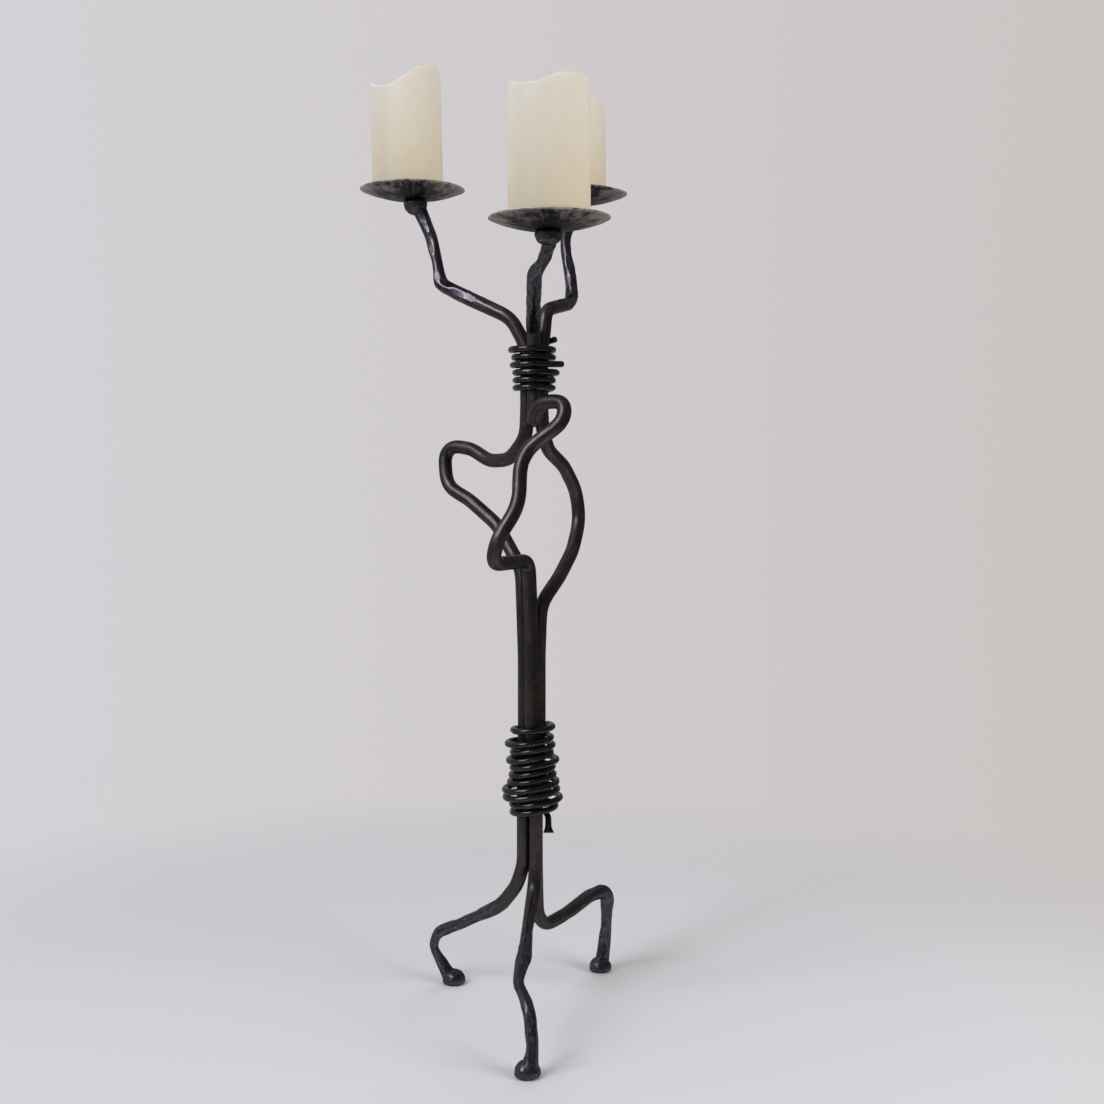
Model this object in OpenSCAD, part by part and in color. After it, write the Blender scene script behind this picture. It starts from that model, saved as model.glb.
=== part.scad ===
// Three-arm forged candle stand.
// Three round iron bars run from foot to arm, each in one piece. A wire tie holds them together below
// the arms and another one above the legs, and between the ties each bar swings out in a bow of its own.
// Every arm ends in a head that carries a drip pan, a pricket and a pillar candle.
// X is to the right, Y to the back and Z up. The floor is at zero.

/* [Bars] */
// Diameter of the round bar
bar_d = 15.5; // [13:0.5:17]
// Diameter of the arms where they are drawn out under the heads
arm_d = 11.5; // [8:0.5:13]
// Diameter of the legs where they are drawn out above the feet
leg_d = 12; // [8:0.5:14]
// Gap between neighbouring bars in the bundle
bar_gap = 0.2; // [0.1:0.1:0.5]
// Turn of the bundle inside the lower tie, in degrees
bundle_turn = 30; // [0:5:40]

/* [Heads and feet] */
// Diameter of the upset knob at each end of a bar
knob_d = 27; // [22:1:34]
// Height of each knob
knob_h = 17; // [13:1:22]
// Height of the front head, which is flatter
front_head_h = 13.5; // [13:0.5:22]
// Rounding of the knob at its flat face
knob_edge = 4; // [2:0.5:6]
// How far the left head stands off the middle of its pan
left_head_off = 3; // [0:0.5:4]

/* [Where it stands and reaches] */
// Left foot from the middle of the bundle: across, back
left_foot = [-93, 76]; // [-260:1:260]
// Front foot from the middle of the bundle: across, back
front_foot = [-2, -184]; // [-260:1:260]
// Rear foot from the middle of the bundle: across, back
rear_foot = [81, 119]; // [-260:1:260]
// Left pan from the middle of the bundle: across, back, rim above the floor
left_pan_at = [-135, 60, 921]; // [-260:1:1100]
// Front pan from the middle of the bundle: across, back, rim above the floor
front_pan_at = [20, -190, 847]; // [-260:1:1100]
// Rear pan from the middle of the bundle: across, back, rim above the floor
rear_pan_at = [52, 131, 929]; // [-260:1:1100]

/* [Ties] */
// Diameter of the tying wire
wire_d = 7; // [4:0.5:7.5]
// Gap between the bundle and the tightest turns
tie_gap = 0.2; // [0.2:0.1:0.8]
// Height of the lowest turn of the lower tie
low_tie_z = 223; // [200:1:260]
// Height of the lowest turn of the upper tie
top_tie_z = 695; // [680:1:720]
// Rise of the upper tie from turn to turn
top_tie_pitch = 8.3; // [8:0.1:9.5]
// Width of the flattened wire end of the lower tie
tail_wide = 11; // [8:0.5:14]
// Thickness of the flattened wire end
tail_thick = 3; // [2:0.5:5]
// Length of the flattened wire end
tail_long = 5; // [3:0.5:10]
// Turns of the second wire of the upper tie
second_turns = 3; // [2:0.5:3]

/* [Pans] */
// Diameter of a drip pan
pan_d = 120; // [100:1:140]
// Depth of a pan, from its rim to its underside
pan_depth = 12; // [9:0.5:16]
// Thickness of the pan sheet
pan_t = 2; // [1.5:0.1:3]
// Depth of the hammered flat under the pan
pan_flat = 0.6; // [0.4:0.1:0.8]

/* [Prickets] */
// Diameter of the spike at its foot
spike_d = 7; // [5:0.5:9]
// Height of the spike above its shoulder
spike_h = 34; // [20:1:50]
// Diameter of the shoulder that carries the candle
shoulder_d = 20; // [16:1:30]
// Diameter of the shank through the pan
shank_d = 6; // [4:0.5:8]
// Depth of the shank in the head
shank_deep = 10; // [6:1:12]
// Gap round the shank
shank_gap = 0.1; // [0.05:0.05:0.3]

/* [Candles] */
// Diameter of a candle
candle_d = 80; // [60:1:88]
// Left candle, from its foot to the high side of its rim
left_candle_h = 135; // [90:1:170]
// Front candle, from its foot to the high side of its rim
front_candle_h = 134; // [90:1:170]
// Rear candle, from its foot to the high side of its rim
rear_candle_h = 108; // [90:1:170]
// Depth of the melted bowl under the low side of the rim
melt_deep = 9; // [5:1:15]
// Wall of wax left standing round the bowl
wax_wall = 5; // [3:0.5:10]
// Diameter of the wick
wick_d = 2.4; // [1.5:0.1:4]
// Length of the wick that stands out of the wax
wick_up = 7; // [4:1:8]
// Depth of the wick in the wax
wick_down = 25; // [10:1:40]
// Gap round the spike in the candle
spike_gap = 0.5; // [0.3:0.1:1.5]
// Gap between a resting candle and its shoulder
seat_gap = 0.3; // [0.2:0.1:0.5]
// How far the left candle stands off the middle of its pan
left_candle_off = -5; // [-8:1:0]
// Lean of the left candle on its spike, in degrees
left_lean = 1.2; // [0:0.1:1.2]
// How far the rear candle stands off the middle of its pan
rear_candle_off = -6; // [-8:1:0]

/* [Hidden] */

end_gap = 0.5;
seam = 1;
spike_tip = 1;
foot_gap = 1.3;
wick_gap = 0.1;
bar_sides = 12;
wire_sides = 6;
rings_a_turn = 24;
iron = [0.17, 0.16, 0.17];
wax = [0.93, 0.88, 0.74];
cotton = [0.35, 0.3, 0.25];

// The bundle: three bars side by side round one middle line, which stands a little to the right above.
slot_r = (bar_d + bar_gap) / sqrt(3);
left_way = 150;
front_way = 270;
rear_way = 30;
upper_x = 3;
legs_below_tie = 58;
low_tie_h = 96;
shaft_h = 80;
bows_below_tie = 21;
top_tie_h = 42;
low_bundle_z = low_tie_z - legs_below_tie;
low_tie_top = low_tie_z + low_tie_h;
bow_from = low_tie_top + shaft_h;
bow_to = top_tie_z - bows_below_tie;
top_tie_top = top_tie_z + top_tie_h;
tie_r = slot_r + bar_d / 2 + tie_gap + wire_d / 2;

// The pan is a shell between two balls. Its flat underside rests on the head of the arm.
pan_ball = (pow(pan_d / 2, 2) + pow(pan_depth, 2)) / (2 * pan_depth);
candle_reach = candle_d / 2 + max(abs(left_candle_off), abs(rear_candle_off));
inner_ball = pan_ball - pan_t;
function dish_rise(r) = pan_t + inner_ball - sqrt(pow(inner_ball, 2) - pow(r, 2));
shoulder_seat = dish_rise(shoulder_d / 2) + seat_gap;
shoulder_top = dish_rise(candle_reach) + foot_gap;
candle_z = shoulder_top + seat_gap;

// Melted rims, from the left to the right: [share of the radius, fall below the high side].
left_rim = [[-1, 14], [-0.8, 21.5], [-0.55, 24.5], [-0.3, 23], [-0.07, 19], [0.2, 11], [0.5, 4],
            [0.87, 0], [0.96, 1], [1, 4.5]];
front_rim = [[-1, 3], [-0.85, 8], [-0.6, 11.5], [-0.3, 11], [-0.05, 8.5], [0.15, 4], [0.5, 2.5],
             [0.78, 0], [0.91, 1.5], [1, 9]];
rear_rim = [[-1, 4], [-0.8, 8], [-0.5, 10], [-0.2, 9], [0.1, 5], [0.4, 2], [0.75, 0], [0.9, 0.5], [1, 7]];

// The origin lies on the floor under the middle of the whole stand.
pan_xs = [left_pan_at[0], front_pan_at[0], rear_pan_at[0]];
pan_ys = [left_pan_at[1], front_pan_at[1], rear_pan_at[1]];
middle = [-(min(pan_xs) + max(pan_xs)) / 2, -(min(pan_ys) + max(pan_ys)) / 2, 0];

function unit(v) = v / norm(v);
function mix(a, b, s) = a + (b - a) * s;

// Place of one bar in the bundle: its direction from the middle, the middle's x and the height.
function slot(way, x, z) = [x + slot_r * cos(way), slot_r * sin(way), z];

// A bend is [x, y, z, bend radius, diameter]. These give one from a point, and from an offset to it.
function bend(p, r, d) = [p[0], p[1], p[2], r, d];
function place(b) = [b[0], b[1], b[2]];

// The round of one bend, as [point, diameter] pairs. It never takes more than its share of the runs.
function bend_round(a, b, c) =
    let (p = place(b), u = unit(place(a) - p), v = unit(place(c) - p),
         half = acos(max(-1, min(1, u * v))) / 2,
         room = 0.48 * min(norm(place(a) - p), norm(place(c) - p)),
         leg = min(b[3] / tan(half), room), r = leg * tan(half), turn = 180 - 2 * half)
    turn < 4 ? [[p, b[4]]]
    : let (mid = p + unit(u + v) * r / sin(half), from = unit(p + u * leg - mid),
           to = unit(p + v * leg - mid), steps = max(2, ceil(turn / 16)))
      [for (k = [0 : steps])
          [mid + r * (sin(turn * (1 - k / steps)) * from + sin(turn * k / steps) * to) / sin(turn), b[4]]];

// The middle line of a bent bar, from its list of bends.
function bent(b) =
    let (n = len(b))
    concat([[place(b[0]), b[0][4]]],
           [for (i = [1 : n - 2]) each bend_round(b[i - 1], b[i], b[i + 1])],
           [[place(b[n - 1]), b[n - 1][4]]]);

// Directions along a line of points, and a side direction carried along it without twist.
function along(p, i) =
    i == 0 ? unit(p[1] - p[0])
    : i == len(p) - 1 ? unit(p[i] - p[i - 1])
    : unit(unit(p[i + 1] - p[i]) + unit(p[i] - p[i - 1]));
function level(v, t) = unit(v - t * (v * t));
function carried(p) =
    [for (i = 0, s = level([0.3, 1, 0.1], along(p, 0)); i < len(p);
          s = i + 1 < len(p) ? level(s, along(p, i + 1)) : s, i = i + 1) s];

// A closed tube along [point, diameter] pairs.
module tube(line, sides) {
    p = [for (q = line) q[0]];
    side = carried(p);
    n = len(p);
    rings = [for (i = [0 : n - 1], k = [0 : sides - 1])
        let (up = cross(along(p, i), side[i]), a = 360 * k / sides)
        p[i] + line[i][1] / 2 * (cos(a) * side[i] + sin(a) * up)];
    walls = [for (i = [0 : n - 2], k = [0 : sides - 1])
        let (a = i * sides + k, b = i * sides + (k + 1) % sides)
        each [[a, a + sides, b], [b, a + sides, b + sides]]];
    first = [for (k = [1 : sides - 2]) [0, k, k + 1]];
    last = [for (k = [1 : sides - 2]) [0, k + 1, k] + (n - 1) * sides * [1, 1, 1]];
    polyhedron(rings, concat(walls, first, last), convexity = 10);
}

// The three bars.
left_bends = concat(
    [bend(concat(left_foot + [-5, 2], 9), 1, leg_d + 6),
     bend(concat(left_foot + [-13, 3], 21), 20, leg_d + 1),
     bend(concat(left_foot + [-26, 4], 46), 13, leg_d - 2),
     bend(concat(left_foot + [-19, 3], 60), 14, leg_d + 2),
     bend([-73, 62, 81], 80, leg_d + 1),
     bend([-36, 32, 107], 60, bar_d),
     bend(slot(left_way + bundle_turn, 0, low_bundle_z) + [-8, 9, -28], 50, bar_d)],
    in_bundle(left_way),
    [bend(slot(left_way, 0, bow_height(0.345)) + [-3, 1, 0], 30, bar_d),
     bend([-39, 31, bow_height(0.525)], 50, bar_d),
     bend([-72, 57, bow_height(0.625)], 50, bar_d),
     bend([-99, 77, bow_height(0.68)], 26, bar_d),
     bend([-103, 87, bow_height(0.855)], 21, bar_d),
     bend([-70, 66, bow_height(0.837)], 34, bar_d),
     bend([-48, 47, bow_height(0.785)], 30, bar_d),
     bend([-25, 23, bow_height(0.79)], 24, bar_d),
     bend(slot(left_way, upper_x, bow_height(0.88)) + [-1, 2, 0], 30, bar_d)],
    above_bow(left_way),
    [bend(slot(left_way, upper_x, top_tie_top + 35) + [-17, 5, 0], 35, bar_d - 0.5),
     bend(left_pan_at + [31, -14, -108], 14, bar_d - 0.5),
     bend(left_pan_at + [30, -13, -92], 20, arm_d),
     bend(left_pan_at + [21, -6, -52], 60, arm_d + 1),
     bend(left_pan_at + [7, 0, -pan_depth - 9], 1, arm_d + 3.5)]);

front_bends = concat(
    [bend(concat(front_foot + [2, -1], 9), 1, leg_d + 7),
     bend(concat(front_foot + [5, 1], 24), 30, leg_d + 0.5),
     bend(concat(front_foot + [3, 13], 60), 25, leg_d + 1),
     bend([-13, -140, 80], 20, leg_d - 1.5),
     bend([-7, -108, 94], 30, bar_d + 1),
     bend([-5, -88, 104], 30, leg_d + 1),
     bend([-4, -66, 112], 30, leg_d),
     bend(slot(front_way + bundle_turn, 0, low_bundle_z) + [-2, -3, -30], 30, bar_d)],
    in_bundle(front_way),
    [bend(slot(front_way, -0.5, bow_height(0.15)), 60, bar_d),
     bend(slot(front_way, -3, bow_height(0.388)), 11, bar_d),
     bend([-41, -86, bow_height(0.39)], 20, bar_d),
     bend([-34, -92, bow_height(0.49)], 34, bar_d),
     bend([-12, -84, bow_height(0.615)], 60, bar_d),
     bend([-11, -72, bow_height(0.77)], 45, bar_d),
     bend([-2, -68, bow_height(0.835)], 60, bar_d),
     bend([35, -73, bow_height(0.935)], 19, bar_d),
     bend([37, -64, bow_height(1.016)], 16, bar_d),
     bend([9, -46, bow_height(1.012)], 19, bar_d),
     bend([3, -35, bow_height(0.945)], 12.5, bar_d),
     bend(slot(front_way, upper_x, bow_height(0.945)), 12.5, bar_d)],
    above_bow(front_way),
    [bend(slot(front_way, upper_x, top_tie_top + 22) + [-1, -1, 0], 22, bar_d),
     bend(front_pan_at + [-15, 60, -44], 12, bar_d - 1.5),
     bend(front_pan_at + [-9, 50, -38], 20, arm_d - 0.5),
     bend(front_pan_at + [-2, 30, -28], 40, arm_d + 1),
     bend(front_pan_at + [-0.5, 14, -22], 20, arm_d + 3.5),
     bend(front_pan_at + [0, 3, -pan_depth - 5.5], 1, arm_d)]);

rear_bends = concat(
    [bend(concat(rear_foot + [2, 3], 9), 1, leg_d + 4),
     bend(concat(rear_foot + [5, 8], 28), 40, leg_d + 2.5),
     bend(concat(rear_foot + [8, 9], 64), 40, leg_d),
     bend(concat(rear_foot + [9, 9], 98), 14, bar_d + 1),
     bend([68, 104, 97], 30, bar_d - 0.5),
     bend([40, 60, 89], 40, bar_d - 0.5),
     bend(slot(rear_way + bundle_turn, 0, 86) + [2, 2, 0], 26, bar_d - 0.5)],
    in_bundle(rear_way),
    [bend(slot(rear_way, 0, bow_height(0.205)) + [2, 2, 0], 30, bar_d),
     bend([31, 39, bow_height(0.31)], 60, bar_d),
     bend([46, 63, bow_height(0.41)], 60, bar_d),
     bend([55, 86, bow_height(0.54)], 60, bar_d),
     bend([50, 80, bow_height(0.665)], 40, bar_d),
     bend([36, 54, bow_height(0.765)], 30, bar_d),
     bend([18, 22, bow_height(0.83)], 25, bar_d),
     bend(slot(rear_way, upper_x, bow_height(0.92)) + [1, 2, 0], 30, bar_d)],
    above_bow(rear_way),
    [bend(slot(rear_way, upper_x, top_tie_top + 20) + [3, 1.5, 0], 30, bar_d),
     bend(slot(rear_way, upper_x, top_tie_top + 44) + [5, 4, 0], 14, bar_d - 0.5),
     bend(rear_pan_at + [-6, -45, -131.5], 14, bar_d - 1.5),
     bend(rear_pan_at + [-8, -33, -99], 60, arm_d + 1),
     bend(rear_pan_at + [-15, -17, -57], 40, arm_d),
     bend(rear_pan_at + [-4, -2, -pan_depth - 9], 1, arm_d + 2.5)]);

// Height in the free part of the bars, as a share of the way from the shaft to the upper tie.
function bow_height(s) = mix(bow_from, bow_to, s);

// The straight runs. The bundle turns a little inside the lower tie.
function in_bundle(way) = concat(
    [bend(slot(way + bundle_turn, 0, low_bundle_z), 30, bar_d)],
    [for (k = [0 : 6]) bend(slot(way + bundle_turn * (1 - k / 6), 0, mix(low_tie_z, low_tie_top, k / 6)),
                            60, bar_d)],
    [bend(slot(way, 0, bow_from), 40, bar_d)]);
function above_bow(way) = [
    bend(slot(way, upper_x, bow_to), 20, bar_d),
    bend(slot(way, upper_x, top_tie_top), 20, bar_d)];

// An upset knob, its flat face down.
module knob(h) {
    round_r = h - knob_edge;
    rotate_extrude($fn = 48) {
        square([knob_d / 2 - knob_edge, knob_edge]);
        square([knob_d / 2 - round_r, h]);
        intersection() {
            translate([knob_d / 2 - knob_edge, knob_edge]) circle(knob_edge, $fn = 48);
            square([knob_d, knob_edge]);
        }
        intersection() {
            translate([knob_d / 2 - round_r, knob_edge]) circle(round_r, $fn = 64);
            translate([0, knob_edge]) square([knob_d, h]);
        }
    }
}

// A whole bar: tube, foot, and head with the hole for its pricket.
module bar(bends, foot, pan_at, head_off, head_h) {
    color(iron) translate(middle) difference() {
        union() {
            tube(bent(bends), bar_sides);
            translate([foot[0], foot[1], 0]) knob(knob_h);
            translate(pan_at + [head_off, 0, pan_flat - pan_depth]) mirror([0, 0, 1]) knob(head_h);
        }
        translate(pan_at + [0, 0, pan_flat - pan_depth - shank_deep - end_gap])
            cylinder(d = shank_d + 2 * shank_gap, h = shank_deep + 2, $fn = 32);
    }
}

module bar_left() {
    bar(left_bends, left_foot, left_pan_at, left_head_off, knob_h);
}

module bar_front() {
    bar(front_bends, front_foot, front_pan_at, -1, front_head_h);
}

module bar_rear() {
    bar(rear_bends, rear_foot, rear_pan_at, 0, knob_h);
}

// A tie is wound from a list of stations, two for each turn: [height, distance from the middle line].
// Even stations lie on the right, odd ones on the left, and the wire goes round the front between them.
function ease(f) = (1 - cos(180 * f)) / 2;
function wound(x, stations, from, to, way) =
    let (steps = ceil((to - from) * rings_a_turn / 2), last = len(stations) - 2)
    [for (k = [0 : steps])
        let (h = mix(from, to, k / steps), i = max(0, min(last, floor(h))), s = ease(h - i),
             q = mix(stations[i], stations[i + 1], h < 0 ? 0 : s))
        [[x + q[1] * cos(180 * h), way * q[1] * sin(180 * h), q[0]], wire_d]];

// The wire with a straight or bent end on it.
function end_of(line) = line[len(line) - 1][0];
function without_last(line) = [for (i = [0 : len(line) - 2]) line[i]];

// Least gap between turns of one winding, measured on its points.
function least_gap(line) =
    min([for (i = [0 : len(line) - 1], j = [i + rings_a_turn / 2 : 1 : len(line) - 1])
        norm(line[i][0] - line[j][0]) - wire_d]);

// The lower tie: eleven close, uneven turns, then a tail that hangs down with its end hammered wide.
// Heights above its lowest turn, and slack outside the tightest turn, on the right and on the left.
low_heights = [[97, 93], [85, 78], [76.5, 68.5], [68.2, 59], [60, 50.8], [51.8, 42.6], [43.6, 34.4],
               [35.4, 26.2], [27, 18], [17.5, 9.5], [8, 1.2]];
low_slack = [[2.6, 0.3], [1.2, 6.4], [2.8, 0.8], [1, 5], [7, 1], [3, 2.2], [4, 4], [7.5, 9.5],
             [8, 9], [11, 1.5], [6, 1.2]];
low_stations = [for (t = [0 : len(low_heights) - 1], s = [0, 1])
    [low_tie_z + low_heights[t][s], tie_r + low_slack[t][s]]];
low_wound = wound(0, concat(low_stations, [[low_tie_z - 4, tie_r + 1]]),
                  -0.25, 2 * len(low_heights) - 0.25, -1);
tail_x = tie_r - 2;
tail_foot = low_tie_z - 18;
low_line = concat(without_last(low_wound), bent([
    bend(end_of(low_wound), 1, wire_d),
    bend([tail_x, 2, low_tie_z - 6], 5, wire_d),
    bend([tail_x, -2, tail_foot], 1, wire_d)]));

// The upper tie: two wires, one under the other. A turn crosses the front level, from left to right, and
// drops one pitch behind. Slack outside the tightest turn, on the left and on the right.
top_slack = [[5, 0.5], [1.5, 0.3], [3, 2.5], [0.3, 4.2], [0.1, 0.1], [0.1, 0.1], [0.1, 0.1]];
first_turns = 3;
top_turns = first_turns + 3;
top_stations = concat([[top_tie_z + 54, tie_r + 2]],
    [for (t = [0 : top_turns], s = [0, 1])
        [top_tie_z + top_tie_pitch * (top_turns - 1 - t), tie_r + top_slack[t][s]]]);

// The first wire's ends stick out, one behind and one to the right.
first_wound = wound(upper_x, top_stations, 0.38, 2 * first_turns - 0.25, 1);
first_line = concat([[[upper_x + 24, 10, top_tie_z + 54], wire_d]], first_wound,
                    [[end_of(first_wound) + [15, 15, 1], wire_d]]);
second_line = wound(upper_x, top_stations, 2 * first_turns + 0.6,
                    2 * (first_turns + second_turns) + 0.5, 1);

echo(least_gap_in_lower_tie = least_gap(low_line));
echo(least_gap_in_first_wire = least_gap(first_line));
echo(least_gap_in_second_wire = least_gap(second_line));

module upper_tie_first() {
    color(iron) translate(middle) tube(first_line, wire_sides);
}

module upper_tie_second() {
    color(iron) translate(middle) tube(second_line, wire_sides);
}

module lower_tie() {
    color(iron) translate(middle) {
        tube(low_line, wire_sides);
        translate([tail_x, -2, tail_foot]) rotate([90, 0, 0])
            linear_extrude(tail_thick, center = true)
                polygon([[-wire_d * 0.4, 2], [wire_d * 0.4, 2], [tail_wide / 2, -tail_long],
                         [-tail_wide / 2, -tail_long]]);
    }
}

// A dished pan with its hole for the shank.
module pan(at) {
    color(iron) translate(middle + at - [0, 0, pan_depth]) difference() {
        intersection() {
            translate([0, 0, pan_ball]) sphere(pan_ball, $fn = 180);
            translate([0, 0, pan_flat]) cylinder(d = pan_d, h = pan_depth - pan_flat, $fn = 120);
        }
        translate([0, 0, pan_ball]) sphere(inner_ball, $fn = 180);
        translate([0, 0, -1]) cylinder(d = shank_d + 2 * shank_gap, h = pan_depth, $fn = 32);
    }
}

module pan_left() {
    pan(left_pan_at);
}

module pan_front() {
    pan(front_pan_at);
}

module pan_rear() {
    pan(rear_pan_at);
}

// A pricket: shank, shoulder and spike.
module pricket(at) {
    color(iron) translate(middle + at - [0, 0, pan_depth]) {
        translate([0, 0, pan_flat - shank_deep])
            cylinder(d = shank_d, h = shank_deep + shoulder_seat, $fn = 32);
        translate([0, 0, shoulder_seat])
            cylinder(d = shoulder_d, h = shoulder_top - shoulder_seat, $fn = 48);
        translate([0, 0, shoulder_top]) cylinder(d1 = spike_d, d2 = spike_tip, h = spike_h, $fn = 32);
    }
}

module pricket_left() {
    pricket(left_pan_at);
}

module pricket_front() {
    pricket(front_pan_at);
}

module pricket_rear() {
    pricket(rear_pan_at);
}

// A candle with its melted rim. A wall of wax is left standing round the bowl.
module candle(at, h, off, rim, lean) {
    r = candle_d / 2;
    low = h - melted(rim);
    wide = r + seam;
    outline = concat([[-wide, -seam], [wide, -seam], [wide, h - rim[len(rim) - 1][1]]],
        [for (k = [len(rim) - 1 : -1 : 0]) [r * rim[k][0], h - rim[k][1]]], [[-wide, h - rim[0][1]]]);
    bowl_r = r - wax_wall;
    bowl = concat([for (k = [0 : 8]) [bowl_r * k / 8, low - melt_deep * (1 - pow(k / 8, 2))]],
                  [[bowl_r, h + seam], [0, h + seam]]);
    color(wax) translate(middle + at + [0, 0, candle_z - pan_depth]) difference() {
        translate([off, 0, 0]) rotate([0, -lean, 0]) difference() {
            intersection() {
                cylinder(r = r, h = h, $fn = 96);
                rotate([90, 0, 0]) linear_extrude(2 * wide, center = true) polygon(outline);
            }
            rotate_extrude($fn = 96) polygon(bowl);
            translate([0, 0, low - melt_deep - wick_down])
                cylinder(d = wick_d + 2 * wick_gap, h = wick_down + seam, $fn = 24);
        }
        translate([0, 0, -seat_gap])
            cylinder(d1 = spike_d + 2 * spike_gap, d2 = spike_tip + 2 * spike_gap, h = spike_h + spike_gap,
                     $fn = 32);
    }
}

function melted(rim) = max([for (q = rim) q[1]]);

module candle_left() {
    candle(left_pan_at, left_candle_h, left_candle_off, left_rim, left_lean);
}

module candle_front() {
    candle(front_pan_at, front_candle_h, 0, front_rim, 0);
}

module candle_rear() {
    candle(rear_pan_at, rear_candle_h, rear_candle_off, rear_rim, 0);
}

// A wick, set in its candle.
module wick(at, h, off, rim, lean) {
    color(cotton) translate(middle + at + [off, 0, candle_z - pan_depth]) rotate([0, -lean, 0])
        translate([0, 0, h - melted(rim) - melt_deep - wick_down])
            cylinder(d = wick_d, h = wick_down + wick_up, $fn = 24);
}

module wick_left() {
    wick(left_pan_at, left_candle_h, left_candle_off, left_rim, left_lean);
}

module wick_front() {
    wick(front_pan_at, front_candle_h, 0, front_rim, 0);
}

module wick_rear() {
    wick(rear_pan_at, rear_candle_h, rear_candle_off, rear_rim, 0);
}

bar_left();
bar_front();
bar_rear();
upper_tie_first();
upper_tie_second();
lower_tie();
pan_left();
pan_front();
pan_rear();
pricket_left();
pricket_front();
pricket_rear();
candle_left();
candle_front();
candle_rear();
wick_left();
wick_front();
wick_rear();
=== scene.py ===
# %% [markdown]
# # A forged three-arm candle stand
# Three round iron bars are tied into a bundle with wire. Below, between and above the ties they swing
# out into legs, free-form bows and arms. Every arm carries a dished pan, a pricket and a pillar candle.
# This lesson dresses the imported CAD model: each piece lies where its solid lies, in the same frame.

import math

import bpy
import numpy as np
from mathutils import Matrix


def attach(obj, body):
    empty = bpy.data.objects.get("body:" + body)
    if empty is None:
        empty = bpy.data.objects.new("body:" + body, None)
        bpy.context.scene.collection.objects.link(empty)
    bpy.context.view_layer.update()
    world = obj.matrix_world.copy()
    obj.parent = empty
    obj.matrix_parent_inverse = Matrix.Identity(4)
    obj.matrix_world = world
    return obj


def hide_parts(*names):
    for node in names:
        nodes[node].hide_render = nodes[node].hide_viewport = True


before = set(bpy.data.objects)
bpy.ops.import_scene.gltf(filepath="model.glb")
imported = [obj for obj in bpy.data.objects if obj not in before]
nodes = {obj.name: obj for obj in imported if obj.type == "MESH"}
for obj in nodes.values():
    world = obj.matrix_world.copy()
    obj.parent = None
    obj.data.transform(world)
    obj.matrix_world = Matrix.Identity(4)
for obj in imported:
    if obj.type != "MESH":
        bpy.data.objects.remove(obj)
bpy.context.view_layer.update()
MM = 0.001

# %% [markdown]
# ## Camera
# The stand was photographed from about 1.6 m, a little above the middle of its height, with the camera
# tipped slightly down. The camera comes first, because every later choice is judged through it.

# %% The photograph's camera
MIDDLE = np.array([41.5, 29.5, 0.0])  # from the middle of the bundle to the frame's origin, in mm
FRAME_PIXELS = 1104
FOCAL_PIXELS = 1440
HORIZON_PIXELS = 87  # from the middle of the picture up to the horizon
SENSOR_MM = 36.0
TIP_DOWN = math.atan(HORIZON_PIXELS / FOCAL_PIXELS)
EYE = (np.array([22.6, -1590.0, 610.5]) + MIDDLE) * MM

camera_data = bpy.data.cameras.new("camera")
camera_data.sensor_width = SENSOR_MM
camera_data.lens = SENSOR_MM * FOCAL_PIXELS / FRAME_PIXELS
camera = bpy.data.objects.new("camera", camera_data)
camera.location = EYE
camera.rotation_euler = (math.pi / 2 - TIP_DOWN, 0, 0)
bpy.context.scene.collection.objects.link(camera)
bpy.context.scene.camera = camera
print("lens", round(camera_data.lens, 2), "mm, eye at", [round(float(c), 3) for c in EYE])

# %% [markdown]
# ## Small helpers
# Colours are written as the hex values that a screen shows, and shaders want linear light, so one
# function turns them. One more function adds a shader node with its settings and links.

# %% Colours and nodes
def linear(code):
    """Linear colour of an sRGB hex value: ((c + 0.055) / 1.055) to the power 2.4, or c / 12.92 near
    black."""
    c = np.array([int(code[k:k + 2], 16) for k in (1, 3, 5)]) / 255
    light = np.where(c <= 0.04045, c / 12.92, ((c + 0.055) / 1.055) ** 2.4)
    return (*light.tolist(), 1.0)


def add(tree, kind, inputs=None, **settings):
    """A new shader node of a kind such as "Mix". Settings are its properties. Inputs are its sockets by
    name or number: each gets a value, a link from a socket, or a link from a node's first output."""
    made = tree.nodes.new("ShaderNode" + kind)
    for key, value in settings.items():
        setattr(made, key, value)
    for key, value in (inputs or {}).items():
        if isinstance(value, bpy.types.Node):
            value = value.outputs[0]
        if isinstance(value, bpy.types.NodeSocket):
            tree.links.new(value, made.inputs[key])
        else:
            made.inputs[key].default_value = value
    return made


def finish_named(name):
    """An empty material and its node tree."""
    material = bpy.data.materials.new(name)
    material.use_nodes = True
    material.node_tree.nodes.clear()
    return material, material.node_tree


def per_mm(size):
    """Noise scale on Object coordinates in metres, for a grain of that size in millimetres."""
    return 1.0 / (size * MM)
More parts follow.
